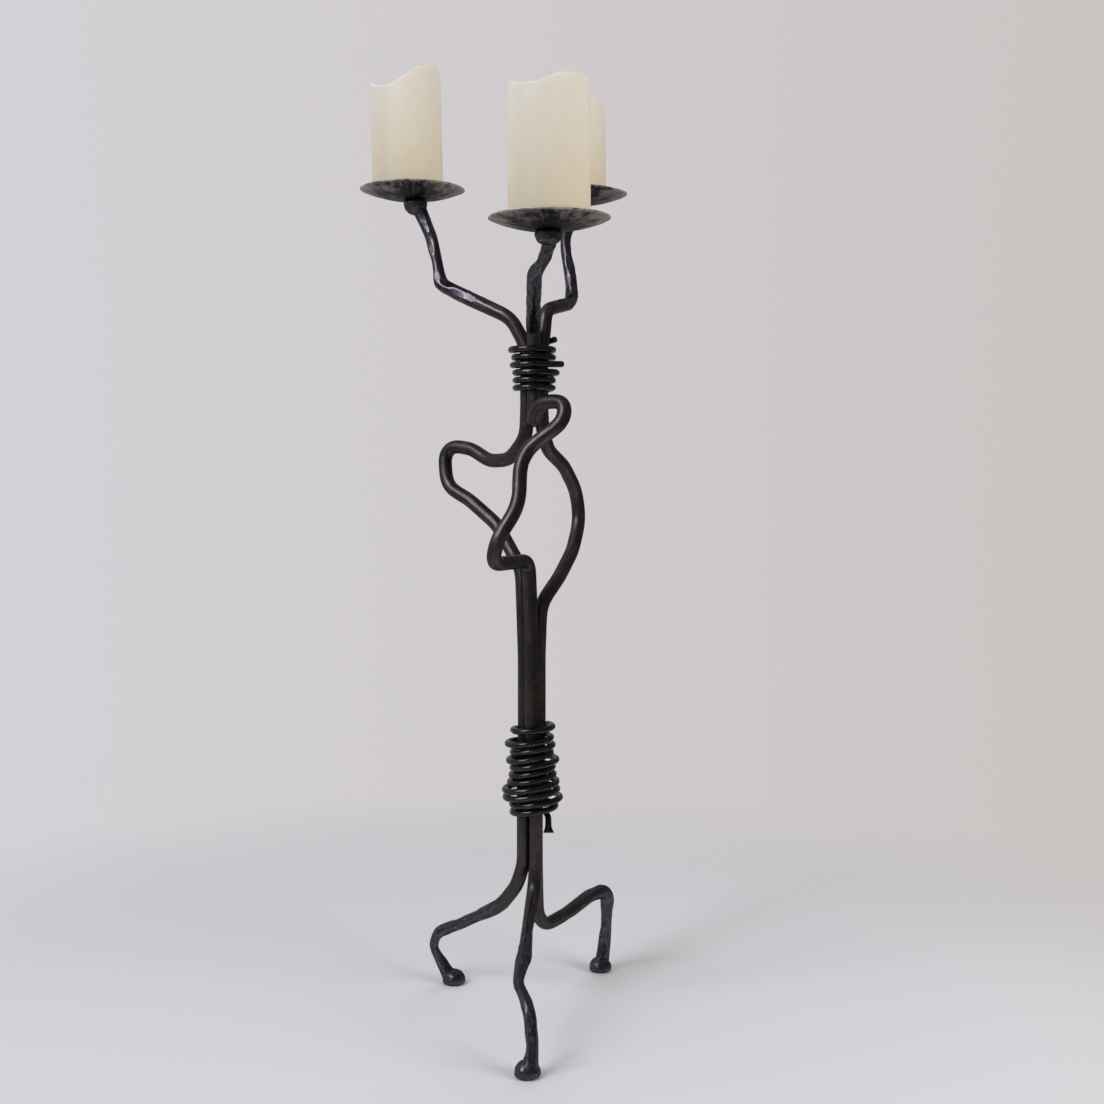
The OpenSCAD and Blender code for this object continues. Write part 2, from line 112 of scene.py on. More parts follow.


# %% [markdown]
# ## Forged iron, brushed and waxed
# Mild steel from the fire is covered in blue-black scale. The smith brushes the loose scale off and
# rubs wax into the warm metal. The eye sees a near-black, slightly brown metal with a soft sheen and
# fine pits. Where the hammer's facets meet the colour is brighter metal, partly wear from hands and
# partly painted glints. The stretches that were in the fire stay blue-black and smooth, and the stock
# bar between them is browner and more satin. The steel could be one flat dark colour, but a stand of
# bars is nearly all highlight, so the sheen has to break up: roughness, colour and bump each get their
# own grain size.

# %% Material: waxed black steel
def waxed_black_steel(name, dark, warm, wear_and_glint, patch_mm, wear_and_glint_share, coat, satin=0.0):
    """Metallic shader with a thin wax coat. Patches of two scale colours, blue-black where the iron was
    forged, fine streaks along the grain of the drawn bar, brighter ridges from the mesh that are partly
    wear and partly painted glints, grit in the bump.
    The dark tint keeps the pale floor's glancing reflection down, as rough scale does. satin is the
    roughness that stock bar has over the hammered stretches."""
    material, tree = finish_named(name)
    place = add(tree, "TexCoord").outputs["Object"]
    patches = add(tree, "TexNoise", {"Vector": place, "Scale": per_mm(patch_mm), "Detail": 5.0,
                                     "Roughness": 0.62})
    patch_share = add(tree, "MapRange", {"Value": patches, "From Min": 0.42, "From Max": 0.66})
    scale_colour = add(tree, "Mix", {"Factor": patch_share, 6: linear(dark), 7: linear(warm)},
                       data_type="RGBA")
    forged = add(tree, "Attribute", attribute_name="forged").outputs["Fac"]
    blued = add(tree, "Mix", {"Factor": forged, 6: scale_colour.outputs[2], 7: linear("#433e46")},
                data_type="RGBA")
    grit = add(tree, "TexNoise", {"Vector": place, "Scale": per_mm(1.6), "Detail": 3.0,
                                  "Roughness": 0.7})
    grain = add(tree, "Attribute", attribute_name="grain").outputs["Vector"]
    streaks = add(tree, "TexNoise", {"Vector": grain, "Scale": 1.0, "Detail": 3.0, "Roughness": 0.6})
    # The brighter colour on ridges is partly wear and partly painted glints; the grain streaks also
    # lighten towards it.
    ridge = add(tree, "Attribute", attribute_name="ridge")
    broken = add(tree, "MapRange", {"Value": grit, "From Min": 0.35, "From Max": 0.62})
    wear_and_glint_mask = add(tree, "Math", {0: ridge.outputs["Fac"], 1: broken}, operation="MULTIPLY")
    bright_streak = add(tree, "MapRange", {"Value": streaks, "From Min": 0.58, "From Max": 0.75,
                                           "To Max": 0.3})
    wear_glint_and_streaks = add(tree, "Math", {0: wear_and_glint_mask, 1: wear_and_glint_share, 2: bright_streak},
                     operation="MULTIPLY_ADD")
    colour = add(tree, "Mix", {"Factor": wear_glint_and_streaks, 6: blued.outputs[2], 7: linear(wear_and_glint)},
                 data_type="RGBA")
    smears = add(tree, "TexNoise", {"Vector": place, "Scale": per_mm(8), "Detail": 4.0})
    uneven = add(tree, "Math", {0: smears, 1: streaks}, operation="ADD")
    rough = add(tree, "MapRange", {"Value": uneven, "From Min": 0.75, "From Max": 1.25, "To Min": 0.2,
                                   "To Max": 0.38})
    softer = add(tree, "Math", {0: forged, 1: -satin, 2: satin}, operation="MULTIPLY_ADD")
    dull = add(tree, "Math", {0: rough, 1: softer}, operation="ADD")
    drawn = add(tree, "Bump", {"Height": streaks, "Strength": 0.35, "Distance": 0.25 * MM})
    bumps = add(tree, "Bump", {"Height": grit, "Strength": 0.3, "Distance": 0.15 * MM, "Normal": drawn})
    shader = add(tree, "BsdfPrincipled", {"Base Color": colour.outputs[2], "Metallic": 0.9,
                                          "Roughness": dull, "Specular Tint": linear("#8c8c8c"),
                                          "Coat Weight": coat, "Coat Roughness": 0.1, "Normal": bumps})
    add(tree, "OutputMaterial", {"Surface": shader})
    return material


# The third colour of each iron is the brighter metal on ridges, partly wear and partly painted glints.
BAR_IRON = waxed_black_steel("waxed_black_steel_bar", "#383433", "#4d4540", "#aaa5ad", 24,
                             0.6, 0.28, 0.12)
WIRE_IRON = waxed_black_steel("waxed_black_steel_wire", "#211e21", "#2b2625", "#8d8790", 12,
                              0.35, 0.6)
print("iron finishes:", BAR_IRON.name, WIRE_IRON.name)

# %% [markdown]
# ## Bent bars
# The smith bends round bar hot, over the horn of the anvil, so every corner is a round arc and the arcs
# flow into each other. The route is a list of corners with a bend radius and the bar's diameter there,
# the same list as in the part's source. A spline could pass through the corners, but it overshoots;
# arcs stay where the CAD is. A short average along the line takes the sudden start out of each arc.

# %% The route of a bar
BAR_D = 15.5
ARM_D = 11.5
LEG_D = 12.0
BAR_GAP = 0.2
BUNDLE_TURN = 30.0
SLOT_R = (BAR_D + BAR_GAP) / math.sqrt(3)
UPPER_X = 3.0
LOW_TIE_Z = 223.0
LOW_TIE_TALL = 96
LOW_TIE_TOP = LOW_TIE_Z + LOW_TIE_TALL
BOW_FROM = LOW_TIE_TOP + 80
TOP_TIE_Z = 695.0
BOW_TO = TOP_TIE_Z - 21
TOP_TIE_TOP = TOP_TIE_Z + 42
WAYS = {"left": 150.0, "front": 270.0, "rear": 30.0}
FEET = {"left": (-93.0, 76.0), "front": (-2.0, -184.0), "rear": (81.0, 119.0)}
PANS = {"left": (-135.0, 60.0, 921.0), "front": (20.0, -190.0, 847.0), "rear": (52.0, 131.0, 929.0)}


def slot(way, x, z, off=(0, 0)):
    """Place of a bar in the bundle: slot radius times (cos, sin) of its way, from the middle's x."""
    a = math.radians(way)
    return (x + SLOT_R * math.cos(a) + off[0], SLOT_R * math.sin(a) + off[1], z)


def bow(share):
    """Height in the free part of the bars, from the shaft (0) to the upper tie (1)."""
    return BOW_FROM + (BOW_TO - BOW_FROM) * share


def near(base, dx, dy, dz):
    """A point given from a foot (x, y, its own height) or from a pan."""
    return (base[0] + dx, base[1] + dy, (base[2] if len(base) > 2 else 0) + dz)


def in_bundle(way):
    """The straight run through the lower tie, where the bundle turns a little."""
    low = [(*slot(way + BUNDLE_TURN, 0, LOW_TIE_Z - 58), 30, BAR_D)]
    turn = [(*slot(way + BUNDLE_TURN * (1 - k / 6), 0, LOW_TIE_Z + LOW_TIE_TALL * k / 6), 60, BAR_D)
            for k in range(7)]
    return low + turn + [(*slot(way, 0, BOW_FROM), 40, BAR_D)]


def above_bow(way):
    """The straight run through the upper tie."""
    return [(*slot(way, UPPER_X, BOW_TO), 20, BAR_D), (*slot(way, UPPER_X, TOP_TIE_TOP), 20, BAR_D)]


def bends_left():
    """Corners of the left bar, from foot to head: x, y, z, bend radius, diameter."""
    w, foot, pan = WAYS["left"], FEET["left"], PANS["left"]
    leg = [(*near(foot, -5, 2, 9), 1, LEG_D + 6), (*near(foot, -13, 3, 21), 20, LEG_D + 1),
           (*near(foot, -26, 4, 46), 13, LEG_D - 2), (*near(foot, -19, 3, 60), 14, LEG_D + 2),
           (-73, 62, 81, 80, LEG_D + 1), (-36, 32, 107, 60, BAR_D),
           (*slot(w + BUNDLE_TURN, 0, LOW_TIE_Z - 86, (-8, 9)), 50, BAR_D)]
    bows = [(*slot(w, 0, bow(0.345), (-3, 1)), 30, BAR_D), (-39, 31, bow(0.525), 50, BAR_D),
            (-72, 57, bow(0.625), 50, BAR_D), (-99, 77, bow(0.68), 26, BAR_D),
            (-103, 87, bow(0.855), 21, BAR_D), (-70, 66, bow(0.837), 34, BAR_D),
            (-48, 47, bow(0.785), 30, BAR_D), (-25, 23, bow(0.79), 24, BAR_D),
            (*slot(w, UPPER_X, bow(0.88), (-1, 2)), 30, BAR_D)]
    arm = [(*slot(w, UPPER_X, TOP_TIE_TOP + 35, (-17, 5)), 35, BAR_D - 0.5),
           (*near(pan, 31, -14, -108), 14, BAR_D - 0.5), (*near(pan, 30, -13, -92), 20, ARM_D),
           (*near(pan, 21, -6, -52), 60, ARM_D + 1), (*near(pan, 7, 0, -21), 1, ARM_D + 3.5)]
    return leg + in_bundle(w) + bows + above_bow(w) + arm


def bends_front():
    """Corners of the front bar, whose bow turns sharply left, rises and loops back into the bundle."""
    w, foot, pan = WAYS["front"], FEET["front"], PANS["front"]
    leg = [(*near(foot, 2, -1, 9), 1, LEG_D + 7), (*near(foot, 5, 1, 24), 30, LEG_D + 0.5),
           (*near(foot, 3, 13, 60), 25, LEG_D + 1), (-13, -140, 80, 20, LEG_D - 1.5),
           (-7, -108, 94, 30, BAR_D + 1), (-5, -88, 104, 30, LEG_D + 1), (-4, -66, 112, 30, LEG_D),
           (*slot(w + BUNDLE_TURN, 0, LOW_TIE_Z - 88, (-2, -3)), 30, BAR_D)]
    bows = [(*slot(w, -0.5, bow(0.15)), 60, BAR_D), (*slot(w, -3, bow(0.388)), 11, BAR_D),
            (-41, -86, bow(0.39), 20, BAR_D), (-34, -92, bow(0.49), 34, BAR_D),
            (-12, -84, bow(0.615), 60, BAR_D), (-11, -72, bow(0.77), 45, BAR_D),
            (-2, -68, bow(0.835), 60, BAR_D), (35, -73, bow(0.935), 19, BAR_D),
            (37, -64, bow(1.016), 16, BAR_D), (9, -46, bow(1.012), 19, BAR_D),
            (3, -35, bow(0.945), 12.5, BAR_D), (*slot(w, UPPER_X, bow(0.945)), 12.5, BAR_D)]
    arm = [(*slot(w, UPPER_X, TOP_TIE_TOP + 22, (-1, -1)), 22, BAR_D),
           (*near(pan, -15, 60, -44), 12, BAR_D - 1.5), (*near(pan, -9, 50, -38), 20, ARM_D - 0.5),
           (*near(pan, -2, 30, -28), 40, ARM_D + 1), (*near(pan, -0.5, 14, -22), 20, ARM_D + 3.5),
           (*near(pan, 0, 3, -17.5), 1, ARM_D)]
    return leg + in_bundle(w) + bows + above_bow(w) + arm


def bends_rear():
    """Corners of the rear bar, whose foot stands at the right."""
    w, foot, pan = WAYS["rear"], FEET["rear"], PANS["rear"]
    leg = [(*near(foot, 2, 3, 9), 1, LEG_D + 4), (*near(foot, 5, 8, 28), 40, LEG_D + 2.5),
           (*near(foot, 8, 9, 64), 40, LEG_D), (*near(foot, 9, 9, 98), 14, BAR_D + 1),
           (68, 104, 97, 30, BAR_D - 0.5), (40, 60, 89, 40, BAR_D - 0.5),
           (*slot(w + BUNDLE_TURN, 0, 86, (2, 2)), 26, BAR_D - 0.5)]
    bows = [(*slot(w, 0, bow(0.205), (2, 2)), 30, BAR_D), (31, 39, bow(0.31), 60, BAR_D),
            (46, 63, bow(0.41), 60, BAR_D), (55, 86, bow(0.54), 60, BAR_D),
            (50, 80, bow(0.665), 40, BAR_D), (36, 54, bow(0.765), 30, BAR_D),
            (18, 22, bow(0.83), 25, BAR_D), (*slot(w, UPPER_X, bow(0.92), (1, 2)), 30, BAR_D)]
    arm = [(*slot(w, UPPER_X, TOP_TIE_TOP + 20, (3, 1.5)), 30, BAR_D),
           (*slot(w, UPPER_X, TOP_TIE_TOP + 44, (5, 4)), 14, BAR_D - 0.5),
           (*near(pan, -6, -45, -131.5), 14, BAR_D - 1.5), (*near(pan, -8, -33, -99), 60, ARM_D + 1),
           (*near(pan, -15, -17, -57), 40, ARM_D), (*near(pan, -4, -2, -21), 1, ARM_D + 2.5)]
    return leg + in_bundle(w) + bows + above_bow(w) + arm


BENDS = {"left": bends_left(), "front": bends_front(), "rear": bends_rear()}
print("corners:", {name: len(corners) for name, corners in BENDS.items()})

# %% Arcs at the corners, and an even, softened line
def unit(v):
    """Vectors along the last axis, divided by their length."""
    return v / np.linalg.norm(v, axis=-1, keepdims=True)


def rounded(corners, steps=14):
    """Line through the corners as rows x, y, z, diameter. Each corner becomes an arc about the point at
    radius / sin(half angle) along the corner's bisector, and takes at most 0.48 of each run."""
    c = np.array(corners, float)
    rows = [np.r_[c[0, :3], c[0, 4]]]
    for a, b, d in zip(c[:-2], c[1:-1], c[2:]):
        p, u, v = b[:3], unit(a[:3] - b[:3]), unit(d[:3] - b[:3])
        half = math.acos(np.clip(u @ v, -1, 1)) / 2
        room = 0.48 * min(np.linalg.norm(a[:3] - p), np.linalg.norm(d[:3] - p))
        leg = min(b[3] / math.tan(half), room)
        radius, turn = leg * math.tan(half), math.pi - 2 * half
        if turn < math.radians(4):
            rows.append(np.r_[p, b[4]])
            continue
        centre = p + unit(u + v) * radius / math.sin(half)
        start, end = unit(p + u * leg - centre), unit(p + v * leg - centre)
        k = np.linspace(0, 1, steps)[:, None]
        mixed = np.sin(turn * (1 - k)) * start + np.sin(turn * k) * end
        arc = centre + radius * mixed / math.sin(turn)
        rows.extend(np.c_[arc, np.full(steps, b[4])])
    rows.append(np.r_[c[-1, :3], c[-1, 4]])
    return np.array(rows)


def even(line, step):
    """The same line with points at equal distances, by linear interpolation over its length."""
    run = np.r_[0, np.cumsum(np.linalg.norm(np.diff(line[:, :3], axis=0), axis=1))]
    s = np.linspace(0, run[-1], int(round(run[-1] / step)) + 1)
    return np.stack([np.interp(s, run, line[:, k]) for k in range(line.shape[1])], 1)


def softened(line, step, reach):
    """A Gaussian average along an even line: each column convolved with exp(-(s / reach)^2 / 2)."""
    half = int(3 * reach / step)
    weight = np.exp(-0.5 * (np.arange(-half, half + 1) * step / reach) ** 2)
    weight /= weight.sum()
    padded = np.pad(line, ((half, half), (0, 0)), mode="reflect", reflect_type="odd")
    return np.stack([np.convolve(padded[:, k], weight, mode="valid") for k in range(line.shape[1])], 1)


BAR_STEP = 1.5
ROUTES = {name: softened(even(rounded(corners), BAR_STEP), BAR_STEP, 5.0)
          for name, corners in BENDS.items()}
print("bar lengths in mm:", {name: round(BAR_STEP * (len(r) - 1)) for name, r in ROUTES.items()})

# %% [markdown]
# ## Hammered surfaces
# A hammer leaves flats. Each blow cuts the round of the bar by a plane, deep where the bar was drawn
# out to a thinner leg or arm, and hardly at all on the shaft, which is stock bar. Noise could roughen
# the tube, but it makes lumps, not flats; planes make the crisp ridges that catch the light. The sweep
# therefore takes the smallest of the bar's radius and every blow's plane, and stores where two flats
# meet, for the material's brighter ridge colour, partly wear and partly painted glints. Along the bar
# each plane is hollowed a little, as by a hammer with a round face.

# %% Blows on a round bar
BLOW_TILT = 0.11
BLOW_HOLLOW = 60.0  # radius along the bar
BLOW_ROWS = 24  # rows of points to each side that a blow can reach
BLOW_FACING = 0.55  # cosine of the widest angle at which its plane cuts
NOT_CUT = 1e3
RIDGE_WIDTH = 0.008  # of the diameter
HIT = 0.9995  # of the radius: what is left below this share was struck
GRAIN_FINE = 1.5
GRAIN_LONG = 40


def around(sides):
    """Angles of that many points, evenly spaced round a circle."""
    return np.linspace(0, 2 * math.pi, sides, endpoint=False)


def ring(radius, height, a):
    """Rows of circles: radius and height may differ from point to point."""
    radius, height = np.broadcast_arrays(radius + 0 * a, height + 0 * a)
    return np.stack([radius * np.cos(a), radius * np.sin(a), height], -1)


def hammered_radius(diameter, step, sides, depth, spacing, seed):
    """Radius of each point of a swept bar, and how close it is to a ridge.
    A blow at (s0, a0) limits the radius to (r (1 - depth) + tilt (s - s0) + (s - s0)^2 / (2 hollow))
    / cos(a - a0). The tilt makes a highlight jump from flat to flat."""
    rng = np.random.default_rng(seed)
    n = len(diameter)
    angle = around(sides)
    lowest = np.repeat(diameter[:, None] / 2, sides, 1)
    second = lowest.copy()
    at = np.arange(0, (n - 1) * step, spacing)
    at = at + rng.uniform(-0.5, 0.5, len(at)) * spacing
    turn = rng.uniform(0, 2 * math.pi, len(at))
    bite = rng.uniform(0.45, 1.0, len(at))
    tilt = rng.uniform(-1, 1, len(at)) * BLOW_TILT
    for s0, a0, share, lean in zip(at, turn, bite, tilt):
        mid = int(np.clip(s0 / step, 0, n - 1))
        rows = np.arange(max(0, mid - BLOW_ROWS), min(n, mid + BLOW_ROWS + 1))
        radius = diameter[rows, None] / 2
        run = rows[:, None] * step - s0
        bent_up = lean * run + run ** 2 / (2 * BLOW_HOLLOW)
        flat = radius * (1 - share * depth[rows, None]) + bent_up
        facing = np.cos(angle - a0)[None, :]
        limit = np.where(facing > BLOW_FACING, flat / np.maximum(facing, BLOW_FACING), NOT_CUT)
        old = lowest[rows]
        lowest[rows] = np.minimum(old, limit)
        second[rows] = np.minimum(second[rows], np.maximum(old, limit))
    ridge = np.exp(-(second - lowest) / (RIDGE_WIDTH * diameter[:, None]))
    hit = lowest < diameter[:, None] / 2 * HIT
    return lowest, ridge * hit


def grid_mesh(name, grid, values=None, closed=False):
    """A mesh from a grid of points, rows along and columns around: quads between neighbouring rows.
    Faces point outwards where the columns run anticlockwise as seen along the way the rows come.
    Both ends get a pole, or, for a closed grid, the last row joins the first. Values are named grids of
    numbers or vectors, stored on the points for the materials."""
    n, m = grid.shape[:2]
    points = grid.reshape(-1, 3)
    i = np.arange(n if closed else n - 1)[:, None]
    j = np.arange(m)[None, :]
    a, b = i * m + j, i * m + (j + 1) % m
    c, d = ((i + 1) % n) * m + (j + 1) % m, ((i + 1) % n) * m + j
    faces = np.stack([a, b, c, d], -1).reshape(-1, 4).tolist()
    if not closed:
        points = np.r_[points, grid[:1].mean(1), grid[-1:].mean(1)]
        k = np.arange(m)
        first, last = n * m, n * m + 1
        faces += np.stack([(k + 1) % m, k, np.full(m, first)], 1).tolist()
        faces += np.stack([(n - 1) * m + k, (n - 1) * m + (k + 1) % m, np.full(m, last)], 1).tolist()
    mesh = bpy.data.meshes.new(name)
    mesh.from_pydata((points * MM).tolist(), [], faces)
    for key, value in (values or {}).items():
        value = np.broadcast_to(value, (n, m) + value.shape[2:]).astype(np.float32)
        if not closed:
            value = np.concatenate([value.reshape(n * m, -1), value[0, :1].reshape(1, -1),
                                    value[-1, :1].reshape(1, -1)])
        vector = value.shape[-1] == 3
        kept = mesh.attributes.new(key, "FLOAT_VECTOR" if vector else "FLOAT", "POINT")
        kept.data.foreach_set("vector" if vector else "value", value.ravel())
    mesh.shade_smooth()
    mesh.update()
    return mesh


def grain_round(radius, rows, step):
    """Place in the grain of drawn bar: fine across it and long along it."""
    along = (np.arange(rows) * step / GRAIN_LONG)[:, None]
    return ring(radius / GRAIN_FINE, along, around(radius.shape[1]))


def swept(line, radius, reference, wide=None):
    """Rings along a line: point + radius (cos a * n1 + sin a * n2). n1 is the reference direction with
    its part along the line taken out, and n2 stands square to both. wide stretches n1 and n2."""
    p = line[:, :3]
    along = unit(np.gradient(p, axis=0))
    n1 = unit(reference - along * np.sum(reference * along, 1, keepdims=True))
    n2 = np.cross(along, n1)
    a = around(radius.shape[1])
    stretch = np.ones((len(p), 2)) if wide is None else wide
    u = radius * np.cos(a) * stretch[:, :1]
    v = radius * np.sin(a) * stretch[:, 1:]
    return p[:, None] + u[..., None] * n1[:, None] + v[..., None] * n2[:, None]


# %% [markdown]
# ## Feet and heads
# The end of each bar is upset: driven back on itself until it mushrooms into a knob with one flat face.
# Below it is the foot that stands on the floor, above it is the head that carries a pan. A ball would
# look bought. The knob is a turned profile, cut by the planes of some two dozen blows.

# %% The knob
KNOB_D = 27.0
KNOB_H = 17.0
FRONT_HEAD_H = 13.5
KNOB_EDGE = 4.0
KNOB_SIDES = 72
KNOB_BLOWS = 52  # half of them face the bar's side and count
KNOB_CUTS = (0.015, 0.06)  # how deep they bite, as shares of the knob
KNOB_MIDDLE = 0.45  # of its height: the point that the blows aim at
KNOB_RIDGE = 0.01
KNOB_FORGED = 0.6


def knob_mesh(name, at, high, down, seed):
    """A knob with its flat face at `at`, looking down or up. Its profile is a flat, a small round and a
    large round; a blow pulls each point towards the middle until it lies on the blow's plane."""
    rng = np.random.default_rng(seed)
    big = high - KNOB_EDGE
    core = KNOB_D / 2 - KNOB_EDGE
    flat = np.stack([np.linspace(0.6, core, 8), np.zeros(8)], 1)
    q = np.linspace(0, math.pi / 2, 9)[1:, None]
    small = np.c_[core + KNOB_EDGE * np.sin(q), KNOB_EDGE * (1 - np.cos(q))]
    q = np.linspace(0, math.pi / 2, 26)[1:-1, None]
    large = np.c_[KNOB_D / 2 - big * (1 - np.cos(q)), KNOB_EDGE + big * np.sin(q)]
    profile = np.r_[flat, small, large, [[KNOB_D / 2 - big, high]]]
    grid = ring(profile[:, :1], profile[:, 1:], around(KNOB_SIDES))
    centre = np.array([0, 0, high * KNOB_MIDDLE])
    ways = unit(rng.normal(size=(KNOB_BLOWS, 3)))
    ways = ways[ways[:, 2] > 0.05]
    out = (grid - centre).reshape(-1, 3)
    reach = out @ ways.T
    planes = reach.max(0) * (1 - rng.uniform(*KNOB_CUTS, len(ways)))
    share = np.where(reach > 1e-6, planes / np.maximum(reach, 1e-6), NOT_CUT)
    order = np.sort(share, 1)
    cut = np.minimum(1, order[:, 0])
    to_edge = np.minimum(np.abs(order[:, 1] - order[:, 0]), np.abs(1 - order[:, 0]))
    ridge = np.exp(-to_edge / KNOB_RIDGE)
    out = out * cut[:, None] + centre
    out[:, 2] *= 1 if down else -1
    grid = (out + np.array(at) + MIDDLE).reshape(grid.shape)
    ridge = ridge.reshape(grid.shape[:2]) * (cut.reshape(grid.shape[:2]) < HIT)
    if not down:
        grid, ridge = grid[:, ::-1], ridge[:, ::-1]
    values = {"ridge": ridge, "forged": np.full((1, 1), KNOB_FORGED), "grain": grid / 2}
    return grid_mesh(name, grid, values)


# %% [markdown]
# ## One bar, all of a piece
# On the real stand the foot, leg, bow, arm and head are one length of iron. The sweep and the two knobs
# are therefore joined into one closed skin. A Boolean union does that exactly where the leg runs into
# the side of its knob, and it keeps the ridge values on the points.

# %% Joining meshes
def object_of(mesh):
    """A scene object for a mesh, at the origin."""
    made = bpy.data.objects.new(mesh.name, mesh)
    bpy.context.scene.collection.objects.link(made)
    return made


def united(name, base, added, bored):
    """One object of closed meshes: base, with the added ones joined on and the bored ones cut out. The
    tools are removed afterwards."""
    body = object_of(base)
    tools = [object_of(m) for m in added + bored]
    for number, tool in enumerate(tools):
        step = body.modifiers.new("step", "BOOLEAN")
        step.operation = "UNION" if number < len(added) else "DIFFERENCE"
        step.solver = "EXACT"
        step.object = tool
    graph = bpy.context.evaluated_depsgraph_get()
    mesh = bpy.data.meshes.new_from_object(body.evaluated_get(graph))
    for o in [body] + tools:
        bpy.data.objects.remove(o)
    mesh.name = name
    mesh.materials.clear()
    mesh.shade_smooth()
    return object_of(mesh)


def dress(piece, finish, body, slot_name, *replaced):
    """Gives a piece its material and its body, and hides the CAD nodes that it stands for. slot_name is
    not used.
    """
    piece.data.materials.append(finish)
    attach(piece, body)
    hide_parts(*replaced)
    triangles = sum(len(p.vertices) - 2 for p in piece.data.polygons)
    print(piece.name, "for", ", ".join(replaced), "with", triangles, "triangles")
    return piece


# %% The three bars
BAR_SIDES = 36
BAR_BLOWS = 4.4  # mm from blow to blow
REFERENCES = {"left": (0.64, 0.77, 0.0), "front": (1.0, 0.0, 0.0), "rear": (0.84, -0.54, 0.0)}
HEAD_SHIFT = {"left": 3.0, "front": -1.0, "rear": 0.0}
PAN_DEPTH = 12.0
PAN_FLAT = 0.6
SHANK_D = 6.0
SHANK_GAP = 0.1
SHANK_DEEP = 10.0
END_GAP = 0.5
FORGED_LONG = 190
FORGED_FADE = 60
STOCK_BITE = 0.004
FORGED_BITE = 0.17
THICKER = (0.10, 0.06)  # in the arm and in the leg


def shank_bore(name):
    """The hole in a head for its pricket's shank: a cylinder that starts its end gap under the shank
    and runs out of the head's flat face."""
    x, y, z = PANS[name]
    face = z - PAN_DEPTH + PAN_FLAT
    ends = np.array([[face - SHANK_DEEP - END_GAP], [face + 2]])
    skin = ring(SHANK_D / 2 + SHANK_GAP, ends, around(32))
    return grid_mesh("bore_" + name, skin + [x, y, 0] + MIDDLE)


def forged_bar(name, seed):
    """Sweep of a bar with its foot and head. Blows hardly mark stock bar, and take up to 17% of the
    radius in the leg and the arm, which start thicker, so that their mean size is kept."""
    line = ROUTES[name]
    n = len(line)
    from_end = np.minimum(np.arange(n), n - 1 - np.arange(n)) * BAR_STEP
    worked = np.clip((FORGED_LONG - from_end) / FORGED_FADE, 0, 1)
    depth = STOCK_BITE + FORGED_BITE * worked
    in_arm = np.arange(n) > n / 2
    diameter = line[:, 3] * (1 + np.where(in_arm, *THICKER) * worked)
    radius, ridge = hammered_radius(diameter, BAR_STEP, BAR_SIDES, depth, BAR_BLOWS, seed)
    rings = swept(line, radius, np.array(REFERENCES[name])) + MIDDLE
    bar = grid_mesh("bar_sweep_" + name, rings, {"ridge": ridge * worked[:, None],
                                                 "forged": worked[:, None],
                                                 "grain": grain_round(radius, n, BAR_STEP)})
    foot = knob_mesh("foot_" + name, (*FEET[name], 0.0), KNOB_H, True, seed + 1)
    x, y, z = PANS[name]
    head = knob_mesh("head_" + name, (x + HEAD_SHIFT[name], y, z - PAN_DEPTH + PAN_FLAT),
                     FRONT_HEAD_H if name == "front" else KNOB_H, False, seed + 2)
    return united("forged_bar_" + name, bar, [foot, head], [shank_bore(name)])


for number, name in enumerate(WAYS):
    dress(forged_bar(name, 100 + 10 * number), BAR_IRON, "stand", "iron", "bar_" + name)

# %% [markdown]
# ## Wire ties
# Thick soft wire is wound round the bundle by hand, hot and under tension, so the turns are uneven:
# each climbs by its own amount and stands off the bars by its own slack. One wire makes the lower tie
# and ends in a tail with a hammered fishtail. Two wires make the upper one. A screw modifier would give
# perfect turns; here the height and the slack of every half turn are given, and the wire eases from one
# to the next.

# %% The winding
WIRE_D = 7.0
TIE_GAP = 0.2
TIE_R = SLOT_R + BAR_D / 2 + TIE_GAP + WIRE_D / 2
TOP_PITCH = 8.3
FIRST_TURNS = 3
SECOND_TURNS = 3
WIRE_STEP = 1.0
WIRE_SIDES = 20
WIRE_BITE = 0.05
WIRE_BLOWS = 4.0
WIRE_END = 1.4  # length over which the ends are rounded
FISHTAIL_LONG = 9
FISHTAIL_WIDER = 0.85
FISHTAIL_THINNER = 0.52


def wound(x, stations, start, end, way):
    """Points of a winding. h counts half turns: the wire is at angle 180 h, and its height and radius
    ease from station to station by (1 - cos(180 f)) / 2 of the fraction f."""
    table = np.array(stations, float)
    h = np.linspace(start, end, int((end - start) * 90))
    i = np.clip(np.floor(h), 0, len(table) - 2).astype(int)
    f = np.where(h < 0, 0, (1 - np.cos(math.pi * (h - i))) / 2)[:, None]
    height, radius = (table[i] + (table[i + 1] - table[i]) * f).T
    return np.stack([x + radius * np.cos(math.pi * h), way * radius * np.sin(math.pi * h), height], 1)


def low_winding():
    """The lower tie: eleven close, uneven turns, then the tail straight down."""
    heights = [[97, 93], [85, 78], [76.5, 68.5], [68.2, 59], [60, 50.8], [51.8, 42.6], [43.6, 34.4],
               [35.4, 26.2], [27, 18], [17.5, 9.5], [8, 1.2]]
    slack = [[2.6, 0.3], [1.2, 6.4], [2.8, 0.8], [1, 5], [7, 1], [3, 2.2], [4, 4], [7.5, 9.5],
             [8, 9], [11, 1.5], [6, 1.2]]
    stations = [[LOW_TIE_Z + h, TIE_R + s] for hs, ss in zip(heights, slack) for h, s in zip(hs, ss)]
    turns = wound(0, stations + [[LOW_TIE_Z - 4, TIE_R + 1]], -0.25, 2 * len(heights) - 0.25, -1)
    tail_x = TIE_R - 2
    tail = rounded([(*turns[-1], 1, WIRE_D), (tail_x, 2, LOW_TIE_Z - 6, 5, WIRE_D),
                    (tail_x, -2, LOW_TIE_Z - 23, 1, WIRE_D)])
    return np.r_[turns[:-1], tail[:, :3]]


